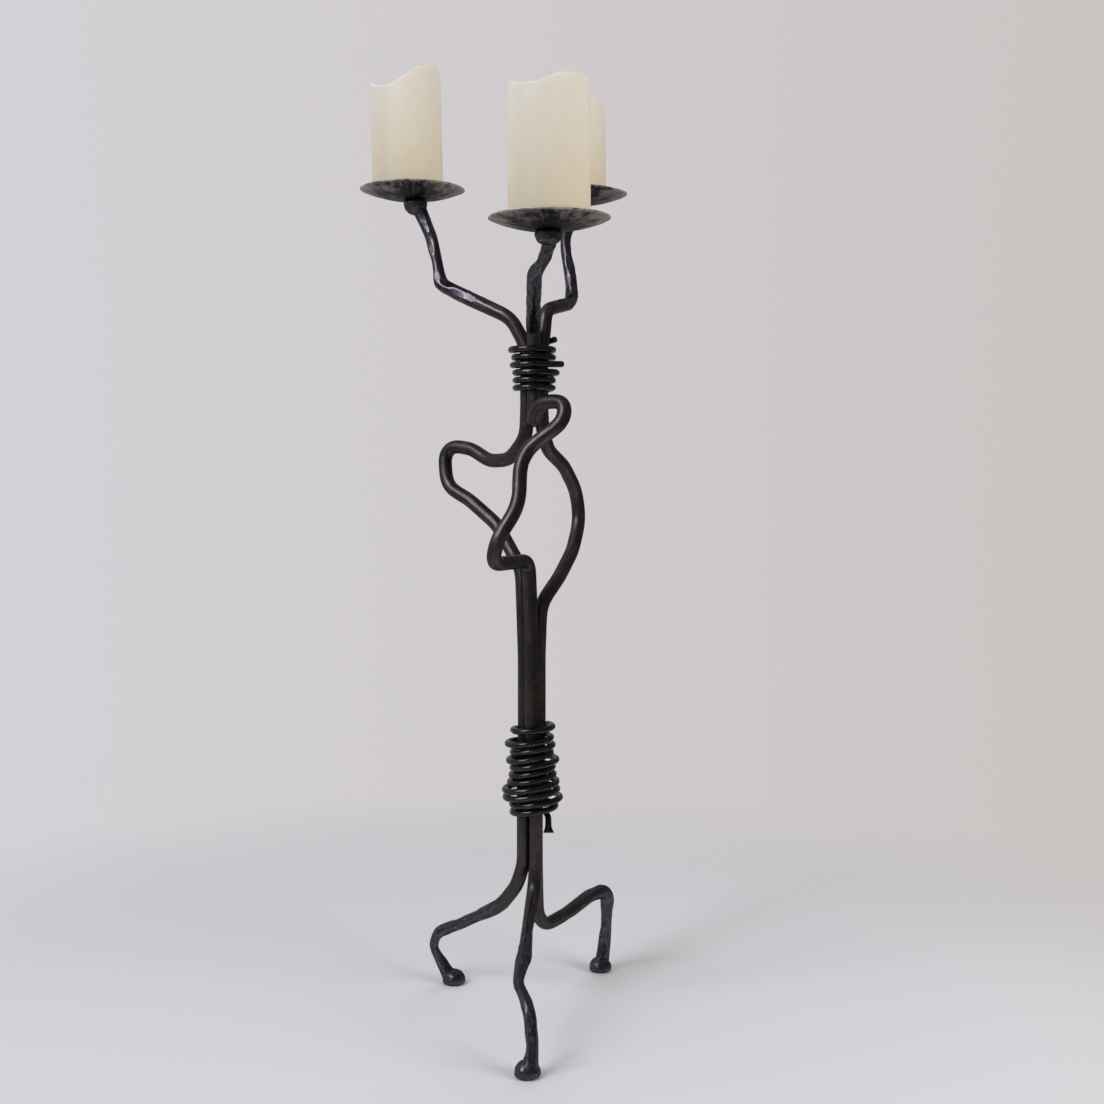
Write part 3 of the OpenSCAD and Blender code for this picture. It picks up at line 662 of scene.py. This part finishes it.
def top_winding(start, end):
    """Both wires of the upper tie: a turn crosses the front level and drops one pitch behind."""
    slack = [[5, 0.5], [1.5, 0.3], [3, 2.5], [0.3, 4.2], [0.1, 0.1], [0.1, 0.1], [0.1, 0.1]]
    turns = FIRST_TURNS + SECOND_TURNS
    stations = [[TOP_TIE_Z + 54, TIE_R + 2]]
    stations += [[TOP_TIE_Z + TOP_PITCH * (turns - 1 - t), TIE_R + out]
                 for t, pair in enumerate(slack) for out in pair]
    return wound(UPPER_X, stations, start, end, 1)


def first_winding():
    """The upper tie's first wire. Its ends stick out behind and to the right."""
    turns = top_winding(0.38, 2 * FIRST_TURNS - 0.25)
    return np.r_[[[UPPER_X + 24, 10, TOP_TIE_Z + 54]], turns, [turns[-1] + [15, 15, 1]]]


def second_winding():
    """The upper tie's second wire, under the first."""
    return top_winding(2 * FIRST_TURNS + 0.6, 2 * (FIRST_TURNS + SECOND_TURNS) + 0.5)


def wire_tie(name, points, x, seed, fishtail=False):
    """A wire swept along a winding. Its reference direction points away from the bundle. The fishtail
    widens the wire to 13 mm and thins it to 3.4 mm over its last 9 mm."""
    line = softened(even(points, WIRE_STEP), WIRE_STEP, 1.8)
    n = len(line)
    diameter = np.full(n, WIRE_D)
    depth = np.full(n, WIRE_BITE)
    radius, ridge = hammered_radius(diameter, WIRE_STEP, WIRE_SIDES, depth, WIRE_BLOWS, seed)
    left = np.minimum(np.arange(n), np.arange(n)[::-1]) * WIRE_STEP
    radius = radius * np.sqrt(np.clip(1 - (1 - np.clip(left / WIRE_END, 0, 1)) ** 2, 0.5, 1))[:, None]
    away = np.c_[line[:, 0] - x, line[:, 1], np.zeros(n)]
    wide = np.ones((n, 2))
    if fishtail:
        share = np.clip((FISHTAIL_LONG - np.arange(n)[::-1] * WIRE_STEP) / FISHTAIL_LONG, 0, 1)
        wide = np.c_[1 + FISHTAIL_WIDER * share ** 1.6, 1 - FISHTAIL_THINNER * share ** 0.8]
        radius[-4:] = radius[-5]
    rings = swept(line, radius, away, wide) + MIDDLE
    values = {"ridge": ridge, "grain": grain_round(radius, n, WIRE_STEP)}
    return object_of(grid_mesh(name, rings, values))


TIES = [("lower_tie", "lower_wire_tie", low_winding(), 0, 201, True),
        ("upper_tie_first", "upper_wire_loose", first_winding(), UPPER_X, 211),
        ("upper_tie_second", "upper_wire_tight", second_winding(), UPPER_X, 221)]
for node, *tie in TIES:
    dress(wire_tie(*tie), WIRE_IRON, "stand", "iron", node)

# %% [markdown]
# ## Drip pans
# Each pan is a disc of sheet, dished with a ball-faced hammer in a wooden hollow. It keeps shallow
# dents, and its rim is a little wavy. It is dark in the middle, partly soot and partly painted shade
# where it sits on its head, and greyer outside, lighter to the left and right as a painted reflection.
# The pan is turned from a closed profile, so the sheet has its real thickness and a round edge.

# %% Material: dished sheet steel
def dished_sheet_steel():
    """Brushed scale on sheet: greyer than the bars, darker in the middle (partly soot, partly painted
    shade where the pan sits on its head), lighter to the left and right (painted reflection), streaked
    outwards, and with a painted highlight of brighter metal along the rim."""
    material, tree = finish_named("brushed_sheet_steel_pan")
    place = add(tree, "TexCoord").outputs["Object"]
    # out carries painted light: dark in the middle, partly soot and partly painted shade, and lighter
    # to the left and right, a painted reflection.
    out = add(tree, "Attribute", attribute_name="out").outputs["Fac"]
    ray = add(tree, "Attribute", attribute_name="ray").outputs["Vector"]
    streak = add(tree, "TexNoise", {"Vector": ray, "Scale": 1.0, "Detail": 5.0, "Roughness": 0.6})
    cloud = add(tree, "TexNoise", {"Vector": place, "Scale": per_mm(12), "Detail": 6.0,
                                   "Roughness": 0.7})
    share = add(tree, "Mix", {"Factor": 0.66, 2: streak, 3: cloud})
    blotch = add(tree, "MapRange", {"Value": share, "From Min": 0.4, "From Max": 0.6, "To Min": -0.27,
                                    "To Max": 0.27})
    edge = add(tree, "Math", {0: out, 1: blotch}, operation="ADD")
    soot_and_painted_light = add(tree, "MapRange", {"Value": edge, "From Min": 0.41, "From Max": 1.04})
    soot_streaks_and_painted_light = add(tree, "Mix", {"Factor": soot_and_painted_light, 6: linear("#080708"), 7: linear("#94867f")},
                 data_type="RGBA")
    # The rim mask adds a painted highlight of brighter metal along the edge.
    rim = add(tree, "Attribute", attribute_name="rim").outputs["Fac"]
    patchy = add(tree, "MapRange", {"Value": cloud, "From Min": 0.4, "From Max": 0.58})
    wear_and_glint_mask = add(tree, "Math", {0: rim, 1: patchy}, operation="MULTIPLY")
    colour = add(tree, "Mix", {"Factor": wear_and_glint_mask, 6: soot_streaks_and_painted_light.outputs[2], 7: linear("#c4beba")},
                 data_type="RGBA")
    grit = add(tree, "TexNoise", {"Vector": place, "Scale": per_mm(1.4), "Detail": 3.0})
    rough = add(tree, "MapRange", {"Value": soot_and_painted_light, "To Min": 0.62, "To Max": 0.34})
    bumps = add(tree, "Bump", {"Height": grit, "Strength": 0.3, "Distance": 0.1 * MM})
    shader = add(tree, "BsdfPrincipled", {"Base Color": colour.outputs[2], "Metallic": 0.85,
                                          "Roughness": rough, "Coat Weight": 0.06,
                                          "Coat Roughness": 0.3, "Normal": bumps})
    add(tree, "OutputMaterial", {"Surface": shader})
    return material


PAN_STEEL = dished_sheet_steel()
print("pan finish:", PAN_STEEL.name)

# %% The pan
PAN_D = 120.0
PAN_T = 2.0
PAN_SIDES = 200
PAN_EDGE_THINNER = 0.9
RIM_BACK = 0.75  # keeps the round edge inside the disc
RIM_IN_OUT = 0.55
RIM_UP_DOWN = 0.45
DENT_DEEP = 0.3
DENT_BALL = 55.0
DENT_SPACING = 10.0
DENT_REACH = 64
HEAD_CLEAR = 17  # no dents where the pan lies on its head
PAN_BALL = ((PAN_D / 2) ** 2 + PAN_DEPTH ** 2) / (2 * PAN_DEPTH)
INNER_BALL = PAN_BALL - PAN_T


def waves(angle, rng, lowest, highest):
    """A periodic wave from -1 to 1: cosines of several whole numbers of waves, with random phases."""
    total = sum(np.cos(k * angle + rng.uniform(0, 2 * math.pi)) / k ** 0.5
                for k in range(lowest, highest))
    return total / np.abs(total).max()


def dents(x, y, rng):
    """How far each point lies above the bottom of the nearest dent: d^2 over twice the radius of the
    ball that struck it, for the distance d to its middle. Hollows meet in low ridges."""
    side = np.arange(-DENT_REACH, DENT_REACH, DENT_SPACING)
    cx, cy = (g.ravel() + rng.uniform(-0.35, 0.35, g.size) * DENT_SPACING
              for g in np.meshgrid(side, side))
    least = np.full(x.shape, NOT_CUT)
    for a, b in zip(cx, cy):
        least = np.minimum(least, (x - a) ** 2 + (y - b) ** 2)
    return least / (2 * DENT_BALL)


def drip_pan(name, seed):
    """Closed profile turned round the pan's axis: underside, round rim, inside, hole wall. The
    underside is z = R - sqrt(R^2 - r^2), flat on the head, and the inside lies a sheet above it."""
    rng = np.random.default_rng(seed)
    a = around(PAN_SIDES)[None, :]
    rim_r = PAN_D / 2 - RIM_BACK - RIM_IN_OUT * (1 - waves(a, rng, 2, 8))
    lift = RIM_UP_DOWN * waves(a, rng, 2, 6)
    t = np.linspace(0, 1, 70)[:, None]
    hole = SHANK_D / 2 + SHANK_GAP
    r_under = hole + (rim_r - hole) * t
    z_under = np.maximum(PAN_BALL - np.sqrt(PAN_BALL ** 2 - r_under ** 2), PAN_FLAT)
    sheet = PAN_T - PAN_EDGE_THINNER * np.clip((t - 0.7) / 0.3, 0, 1)
    wave = lift * np.clip((t - 0.55) / 0.45, 0, 1) ** 2
    x, y = r_under * np.cos(a), r_under * np.sin(a)
    away_from_head = np.clip((r_under - HEAD_CLEAR) / 8, 0, 1)
    dent = (DENT_DEEP - np.minimum(dents(x, y, rng), DENT_DEEP)) * away_from_head
    z_under = z_under + wave + dent
    z_inner = z_under + sheet - 0.5 * dent
    edge = sheet[-1] / 2
    q = np.linspace(-math.pi / 2, math.pi / 2, 9)[1:-1, None]
    r_rim = rim_r + edge * np.cos(q)
    z_rim = z_under[-1:] + edge * (1 + np.sin(q))
    r_all = np.r_[r_under, r_rim, r_under[::-1]]
    z_all = np.r_[z_under, z_rim, z_inner[::-1]]
    px, py, pz = PANS[name]
    grid = ring(r_all, z_all, a) + [px, py, pz - PAN_DEPTH]
    # Painted light: darker towards the middle, partly soot and partly painted shade, and lighter to the
    # left and right as a painted reflection.
    out = r_all / (PAN_D / 2) * (0.5 + 0.5 * np.abs(np.cos(a)))
    ray = ring(14, 2.5 * out, a)
    # The rim share carries a painted highlight along the edge.
    rim = np.clip((r_all - rim_r + 1.8) / 1.6, 0, 1) + 0 * a
    values = {"out": out, "ray": ray, "rim": rim}
    return object_of(grid_mesh("drip_pan_" + name, grid + MIDDLE, values, closed=True))


for number, name in enumerate(WAYS):
    dress(drip_pan(name, 300 + number), PAN_STEEL, "stand", "iron", "pan_" + name)

# %% [markdown]
# ## Prickets
# Under each candle a spike stands on a round shoulder. The CAD solid has that shape, turned on a lathe
# in effect, so it stays and only gets a waxed finish of its own. It shows when a candle is lifted off.

# %% Prickets keep their CAD shape
PRICKET_IRON = waxed_black_steel("waxed_black_steel_pricket", "#2c2829", "#332c28", "#8a868d",
                                 9, 0.0, 0.36)
for name in WAYS:
    pricket = nodes["pricket_" + name]
    pricket.data.materials.clear()
    pricket.data.materials.append(PRICKET_IRON)
print("prickets:", [n for n in nodes if n.startswith("pricket")])

# %% [markdown]
# ## Candle wax
# Pillar candles are cast in paraffin wax with a little stearin. Light enters the wax and comes out
# again a few millimetres away, so edges glow and shadows are soft. Subsurface scattering does this;
# a plain ivory paint would look like chalk. The colour is warmer and darker towards the foot and paler
# towards the thin rim.

# %% Material: ivory candle wax and the wick
def ivory_wax():
    """Subsurface wax. The colour warms from the rim to the foot, with faint clouds."""
    material, tree = finish_named("ivory_candle_wax")
    place = add(tree, "TexCoord").outputs["Object"]
    height = add(tree, "Attribute", attribute_name="height").outputs["Fac"]
    cloud = add(tree, "TexNoise", {"Vector": place, "Scale": per_mm(22), "Detail": 4.0,
                                   "Roughness": 0.55})
    level = add(tree, "Math", {0: cloud, 1: 0.5, 2: -0.25}, operation="MULTIPLY_ADD")
    warm = add(tree, "Math", {0: height, 1: level}, operation="ADD", use_clamp=True)
    colour = add(tree, "Mix", {"Factor": warm, 6: linear("#d3c7ae"), 7: linear("#dfd9ce")},
                 data_type="RGBA")
    skin = add(tree, "TexNoise", {"Vector": place, "Scale": per_mm(3.5), "Detail": 3.0})
    rough = add(tree, "MapRange", {"Value": cloud, "From Min": 0.3, "From Max": 0.7, "To Min": 0.42,
                                   "To Max": 0.55})
    bumps = add(tree, "Bump", {"Height": skin, "Strength": 0.12, "Distance": 0.3 * MM})
    shader = add(tree, "BsdfPrincipled", {"Base Color": colour.outputs[2], "Roughness": rough,
                                          "IOR": 1.44, "Subsurface Weight": 0.45,
                                          "Subsurface Radius": (1.0, 0.62, 0.32),
                                          "Subsurface Scale": 5 * MM, "Normal": bumps})
    add(tree, "OutputMaterial", {"Surface": shader})
    return material


def braided_wick():
    """Waxed cotton braid, charred where it stands out of the wax. The braid follows the piece's UVs."""
    material, tree = finish_named("charred_cotton_wick")
    char = add(tree, "Attribute", attribute_name="char").outputs["Fac"]
    uv = add(tree, "UVMap", uv_map="braid").outputs["UV"]
    braid = add(tree, "TexWave", {"Vector": uv, "Scale": 3.0, "Distortion": 1.5}, wave_type="BANDS",
                bands_direction="DIAGONAL")
    colour = add(tree, "Mix", {"Factor": char, 6: linear("#cfc3a6"), 7: linear("#231f1d")},
                 data_type="RGBA")
    bumps = add(tree, "Bump", {"Height": braid.outputs["Fac"], "Strength": 0.6, "Distance": 0.25 * MM})
    shader = add(tree, "BsdfPrincipled", {"Base Color": colour.outputs[2], "Roughness": 0.85,
                                          "Normal": bumps})
    add(tree, "OutputMaterial", {"Surface": shader})
    return material


WAX = ivory_wax()
WICK = braided_wick()
print("candle finishes:", WAX.name, WICK.name)

# %% [markdown]
# ## Melted pillars
# Each candle has burnt down unevenly: the rim is low on one side and high on the other, with a wall of
# wax round a shallow melted bowl. One sheet of points covers it all, from the tip of the spike's hole,
# under the foot, up the wall, over the rim, down into the bowl and into the wick's bore, so the skin is
# closed.

# %% The candle
CANDLE_D = 80.0
CANDLE_SIDES = 160
WAX_WALL = 5.0
WALL_LEAN = 0.35  # how far the outer wall draws in at the rim
MELT_DEEP = 9.0
SPIKE_D = 7.0
SPIKE_TIP = 1.0
SPIKE_H = 34.0
SPIKE_GAP = 0.5
SEAT_GAP = 0.3
FOOT_GAP = 1.3
WICK_D = 2.4
WICK_GAP = 0.1
WICK_UP = 7.0
WICK_DOWN = 25.0
CANDLE_H = {"left": 135.0, "front": 134.0, "rear": 108.0}
CANDLE_OFF = {"left": -5.0, "front": 0.0, "rear": -6.0}
LEAN = {"left": 1.2, "front": 0.0, "rear": 0.0}
RIMS = {
    "left": [[-1, 14], [-0.8, 21.5], [-0.55, 24.5], [-0.3, 23], [-0.07, 19], [0.2, 11], [0.5, 4],
             [0.87, 0], [0.96, 1], [1, 4.5]],
    "front": [[-1, 3], [-0.85, 8], [-0.6, 11.5], [-0.3, 11], [-0.05, 8.5], [0.15, 4], [0.5, 2.5],
              [0.78, 0], [0.91, 1.5], [1, 9]],
    "rear": [[-1, 4], [-0.8, 8], [-0.5, 10], [-0.2, 9], [0.1, 5], [0.4, 2], [0.75, 0], [0.9, 0.5],
             [1, 7]],
}
CANDLE_REACH = CANDLE_D / 2 + 6.0
CANDLE_Z = PAN_T + INNER_BALL - math.sqrt(INNER_BALL ** 2 - CANDLE_REACH ** 2) + FOOT_GAP + SEAT_GAP


def rim_height(name, x):
    """Height of the rim above the candle's foot at x, by interpolation in its list of falls."""
    table = np.array(RIMS[name])
    return CANDLE_H[name] - np.interp(x / (CANDLE_D / 2), table[:, 0], table[:, 1])


def seat_of(name):
    """The point over the middle of its pan, at the height of the candle's foot."""
    px, py, pz = PANS[name]
    return np.array([px, py, pz - PAN_DEPTH + CANDLE_Z]) + MIDDLE


def leaned(name, points):
    """Points of a candle, turned by its lean about the Y axis through its foot, then set on its pan."""
    t = math.radians(LEAN[name])
    x, y, z = points[..., 0], points[..., 1], points[..., 2]
    turned = np.stack([x * math.cos(t) - z * math.sin(t), y, z * math.cos(t) + x * math.sin(t)], -1)
    return turned + [CANDLE_OFF[name], 0, 0] + seat_of(name)


def pillar_candle(name, seed):
    """The whole skin of one candle as rows of rings, from the spike's hole to the foot of the wick's
    bore. The rim is half an ellipse from the outer wall to the bowl's wall; the bowl is a parabola."""
    rng = np.random.default_rng(seed)
    a = around(CANDLE_SIDES)[None, :]
    r = CANDLE_D / 2 - 0.25 * (1 - waves(a, rng, 2, 9))
    top = rim_height(name, CANDLE_D / 2 * np.cos(a))
    kernel = np.exp(-0.5 * (np.arange(-12, 13) / 3.0) ** 2)
    top = np.convolve(np.pad(top[0], 12, mode="wrap"), kernel / kernel.sum(), mode="valid")[None, :]
    top = top - 0.5 * (1 - waves(a, rng, 5, 19))
    low = CANDLE_H[name] - max(q[1] for q in RIMS[name])
    foot_round, rim_high = 1.4, 2.6

    t = np.linspace(0, 1, 5)[:, None]
    foot = ring(r - foot_round + foot_round * np.sin(t * math.pi / 2),
                foot_round * (1 - np.cos(t * math.pi / 2)), a)
    t = np.linspace(0, 1, 62)[1:, None]
    flow = 0.22 * np.sin(7 * a + 3 * t) * t * (1 - t) + WALL_LEAN * t ** 6
    wall = ring(r - flow, foot_round + (top - rim_high - foot_round) * t, a)
    t = np.linspace(0, math.pi, 14)[1:-1, None]
    middle = r - WALL_LEAN - WAX_WALL / 2
    lip = ring(middle + WAX_WALL / 2 * np.cos(t), top - rim_high + rim_high * np.sin(t), a)
    inner = r - WALL_LEAN - WAX_WALL
    floor = low - 1.5
    t = np.linspace(0, 1, 9)[:, None]
    bowl_wall = ring(inner - 1.2 * t ** 3, (top - rim_high) + (floor - top + rim_high) * t, a)
    t = np.linspace(1, 0.04, 16)[:, None]
    bowl = ring((inner - 1.2) * t, floor - (MELT_DEEP - 1.5) * (1 - t ** 2), a)[1:]
    t = np.linspace(0, 1, 5)[:, None]
    bore = ring(WICK_D / 2 + WICK_GAP, low - MELT_DEEP - WICK_DOWN * t, a)
    body = leaned(name, np.concatenate([foot, wall, lip, bowl_wall, bowl, bore]))

    seat = seat_of(name)
    t = np.linspace(0, 1, 12)[:, None]
    narrow, wide_r = SPIKE_TIP / 2 + SPIKE_GAP, SPIKE_D / 2 + SPIKE_GAP
    hole = ring(narrow + (wide_r - narrow) * t, (SPIKE_H + SPIKE_GAP - SEAT_GAP) * (1 - t), a) + seat
    hole[:, :, 2] = np.maximum(hole[:, :, 2], seat[2])
    t = np.linspace(0, 1, 8)[1:-1, None, None]
    under = hole[-1:] + (body[:1] - hole[-1:]) * t
    grid = np.concatenate([hole, under, body])
    height = np.clip((grid[..., 2] - seat[2]) / CANDLE_H[name], 0, 1)
    return object_of(grid_mesh("pillar_candle_" + name, grid, {"height": height}))


for number, name in enumerate(WAYS):
    dress(pillar_candle(name, 400 + number), WAX, name + "_candle", "wax", "candle_" + name)

# %% [markdown]
# ## Wicks
# A cotton wick stands a few millimetres out of the wax, charred, and curls over at its tip. It is a
# short sweep along a bent line, with a braid that follows its own UV map.

# %% The wick
def wick_piece(name, seed):
    """A sweep of a 2.4 mm braid. The line bends sideways by the square of its height above the wax."""
    rng = np.random.default_rng(seed)
    low = CANDLE_H[name] - max(q[1] for q in RIMS[name]) - MELT_DEEP
    z = np.linspace(-WICK_DOWN + 0.4, WICK_UP - 0.3, 70)
    out = np.clip(z / WICK_UP, 0, 1)
    way = rng.uniform(0, 2 * math.pi)
    line = np.stack([1.6 * out ** 2 * np.cos(way), 1.6 * out ** 2 * np.sin(way), low + z], 1)
    a = around(16)
    braid = 1 - 0.10 * np.abs(np.sin(2 * a[None, :] + 2.2 * z[:, None]))
    taper = 1 - 0.35 * np.clip((out - 0.7) / 0.3, 0, 1)
    radius = WICK_D / 2 * braid * taper[:, None]
    rings = swept(line, radius, np.array([1.0, 0.0, 0.0]))
    char = np.repeat(np.clip(out * 4, 0, 1)[:, None], len(a), 1)
    mesh = grid_mesh("wick_braid_" + name, leaned(name, rings), {"char": char})
    corner = np.zeros(len(mesh.loops), np.int32)
    mesh.loops.foreach_get("vertex_index", corner)
    row, column = np.minimum(corner // len(a), len(z) - 1), corner % len(a)
    uv = np.stack([column / len(a), row / 10.0], 1).astype(np.float32)
    mesh.uv_layers.new(name="braid").data.foreach_set("uv", uv.ravel())
    return object_of(mesh)


for number, name in enumerate(WAYS):
    dress(wick_piece(name, 500 + number), WICK, name + "_candle", "cotton", "wick_" + name)

# %% [markdown]
# ## Floor and background
# The stand is on a plain pale floor. Round the stand the floor is a real surface, so that it keeps the
# shadow, and further out it fades away into the world's pale colour, so that no horizon shows.

# %% Floor
FLOOR_CLEAR = 0.55
FLOOR_GONE = 1.15


def pale_floor():
    """Matt pale floor with a round fade, by distance from the middle in Object coordinates."""
    material, tree = finish_named("pale_floor")
    place = add(tree, "TexCoord").outputs["Object"]
    distance = add(tree, "VectorMath", {0: place}, operation="LENGTH").outputs["Value"]
    fade = add(tree, "MapRange", {"Value": distance, "From Min": FLOOR_CLEAR, "From Max": FLOOR_GONE},
               interpolation_type="SMOOTHSTEP")
    matt = add(tree, "BsdfDiffuse", {"Color": linear("#dcdadd")})
    clear = add(tree, "BsdfTransparent")
    both = add(tree, "MixShader", {0: fade, 1: matt, 2: clear})
    add(tree, "OutputMaterial", {"Surface": both})
    return material


floor_mesh = bpy.data.meshes.new("floor")
half = FLOOR_GONE * 1.05
floor_mesh.from_pydata([(-half, -half, 0), (half, -half, 0), (half, half, 0), (-half, half, 0)], [],
                       [(0, 1, 2, 3)])
floor = object_of(floor_mesh)
floor.data.materials.append(pale_floor())
print("floor fades out at", FLOOR_GONE, "m")

# %% [markdown]
# ## Light
# A large soft window and a narrow bright strip of it from the upper left, a broad fill from the right,
# a lamp behind, and the room all round. The fill and the lamp behind lift the wax and the floor, but
# the metal doesn't mirror them. It mirrors the window and the room: paler behind the stand, and darker
# on the camera's side and to the right, away from the window. Only the camera, and light that passes
# through glass, see the pale background itself.

# %% World and lamps
PALE_LEFT = "#d4d1d6"
PALE_RIGHT = "#cac5c3"
world = bpy.data.worlds.new("pale_room")
bpy.context.scene.world = world
world.use_nodes = True
tree = world.node_tree
tree.nodes.clear()
way = add(tree, "TexCoord").outputs["Generated"]
apart = add(tree, "SeparateXYZ", {0: way})
across, depth = apart.outputs["X"], apart.outputs["Y"]
# Painted light on the background: lighter and cooler on the left, on the window's side, and darker and
# warmer on the right.
side = add(tree, "MapRange", {"Value": across, "From Min": -0.35, "From Max": 0.35})
pale = add(tree, "Mix", {"Factor": side, 6: linear(PALE_LEFT), 7: linear(PALE_RIGHT)}, data_type="RGBA")
room = add(tree, "MapRange", {"Value": depth, "From Min": -0.5, "From Max": 0.6, "To Min": 0.17,
                              "To Max": 0.46})
gloom = add(tree, "MapRange", {"Value": across, "From Min": -0.4, "From Max": 0.7, "To Min": 1.25,
                               "To Max": 0.4})
level = add(tree, "Math", {0: room, 1: gloom}, operation="MULTIPLY")
path = add(tree, "LightPath")
seen = add(tree, "Math", {0: path.outputs["Is Camera Ray"], 1: path.outputs["Is Transmission Ray"]},
           operation="MAXIMUM")
ambient = add(tree, "Background", {"Color": linear("#ffffff"), "Strength": level})
shown = add(tree, "Background", {"Color": pale.outputs[2], "Strength": 1.0})
both = add(tree, "MixShader", {0: seen, 1: ambient, 2: shown})
add(tree, "OutputWorld", {"Surface": both})


def soft_light(name, place, target, width, height, watts, colour):
    """An area lamp at a place, turned to a target point, in metres."""
    data = bpy.data.lights.new(name, "AREA")
    data.shape = "RECTANGLE"
    data.size, data.size_y = width, height
    data.energy = watts
    data.color = linear(colour)[:3]
    lamp = bpy.data.objects.new(name, data)
    lamp.location = place
    gaze = np.array(target) - np.array(place)
    lamp.rotation_euler = (math.acos(-gaze[2] / np.linalg.norm(gaze)), 0,
                           math.atan2(gaze[1], gaze[0]) - math.pi / 2)
    bpy.context.scene.collection.objects.link(lamp)
    return lamp


# Name, place, target, width, height, watts, colour, and whether metal mirrors it.
LAMPS = [("window", (-1.9, -1.5, 2.3), (0, 0, 0.6), 1.8, 1.8, 54, "#f6f7fd", True),
         ("broad_fill", (2.2, -1.35, 0.95), (0, 0, 0.8), 1.6, 1.7, 56, "#fffdfa", False),
         ("from_behind", (0.4, 2.4, 2.2), (0, 0, 0.6), 2.0, 1.4, 16, "#ffffff", False),
         ("window_strip", (-1.1, -1.3, 1.9), (0, 0, 0.6), 0.25, 1.0, 6, "#eef0fb", True)]
for *lamp, mirrored in LAMPS:
    soft_light(*lamp).visible_glossy = mirrored
    print("lamp:", *lamp)
bpy.context.scene.view_settings.view_transform = "Standard"
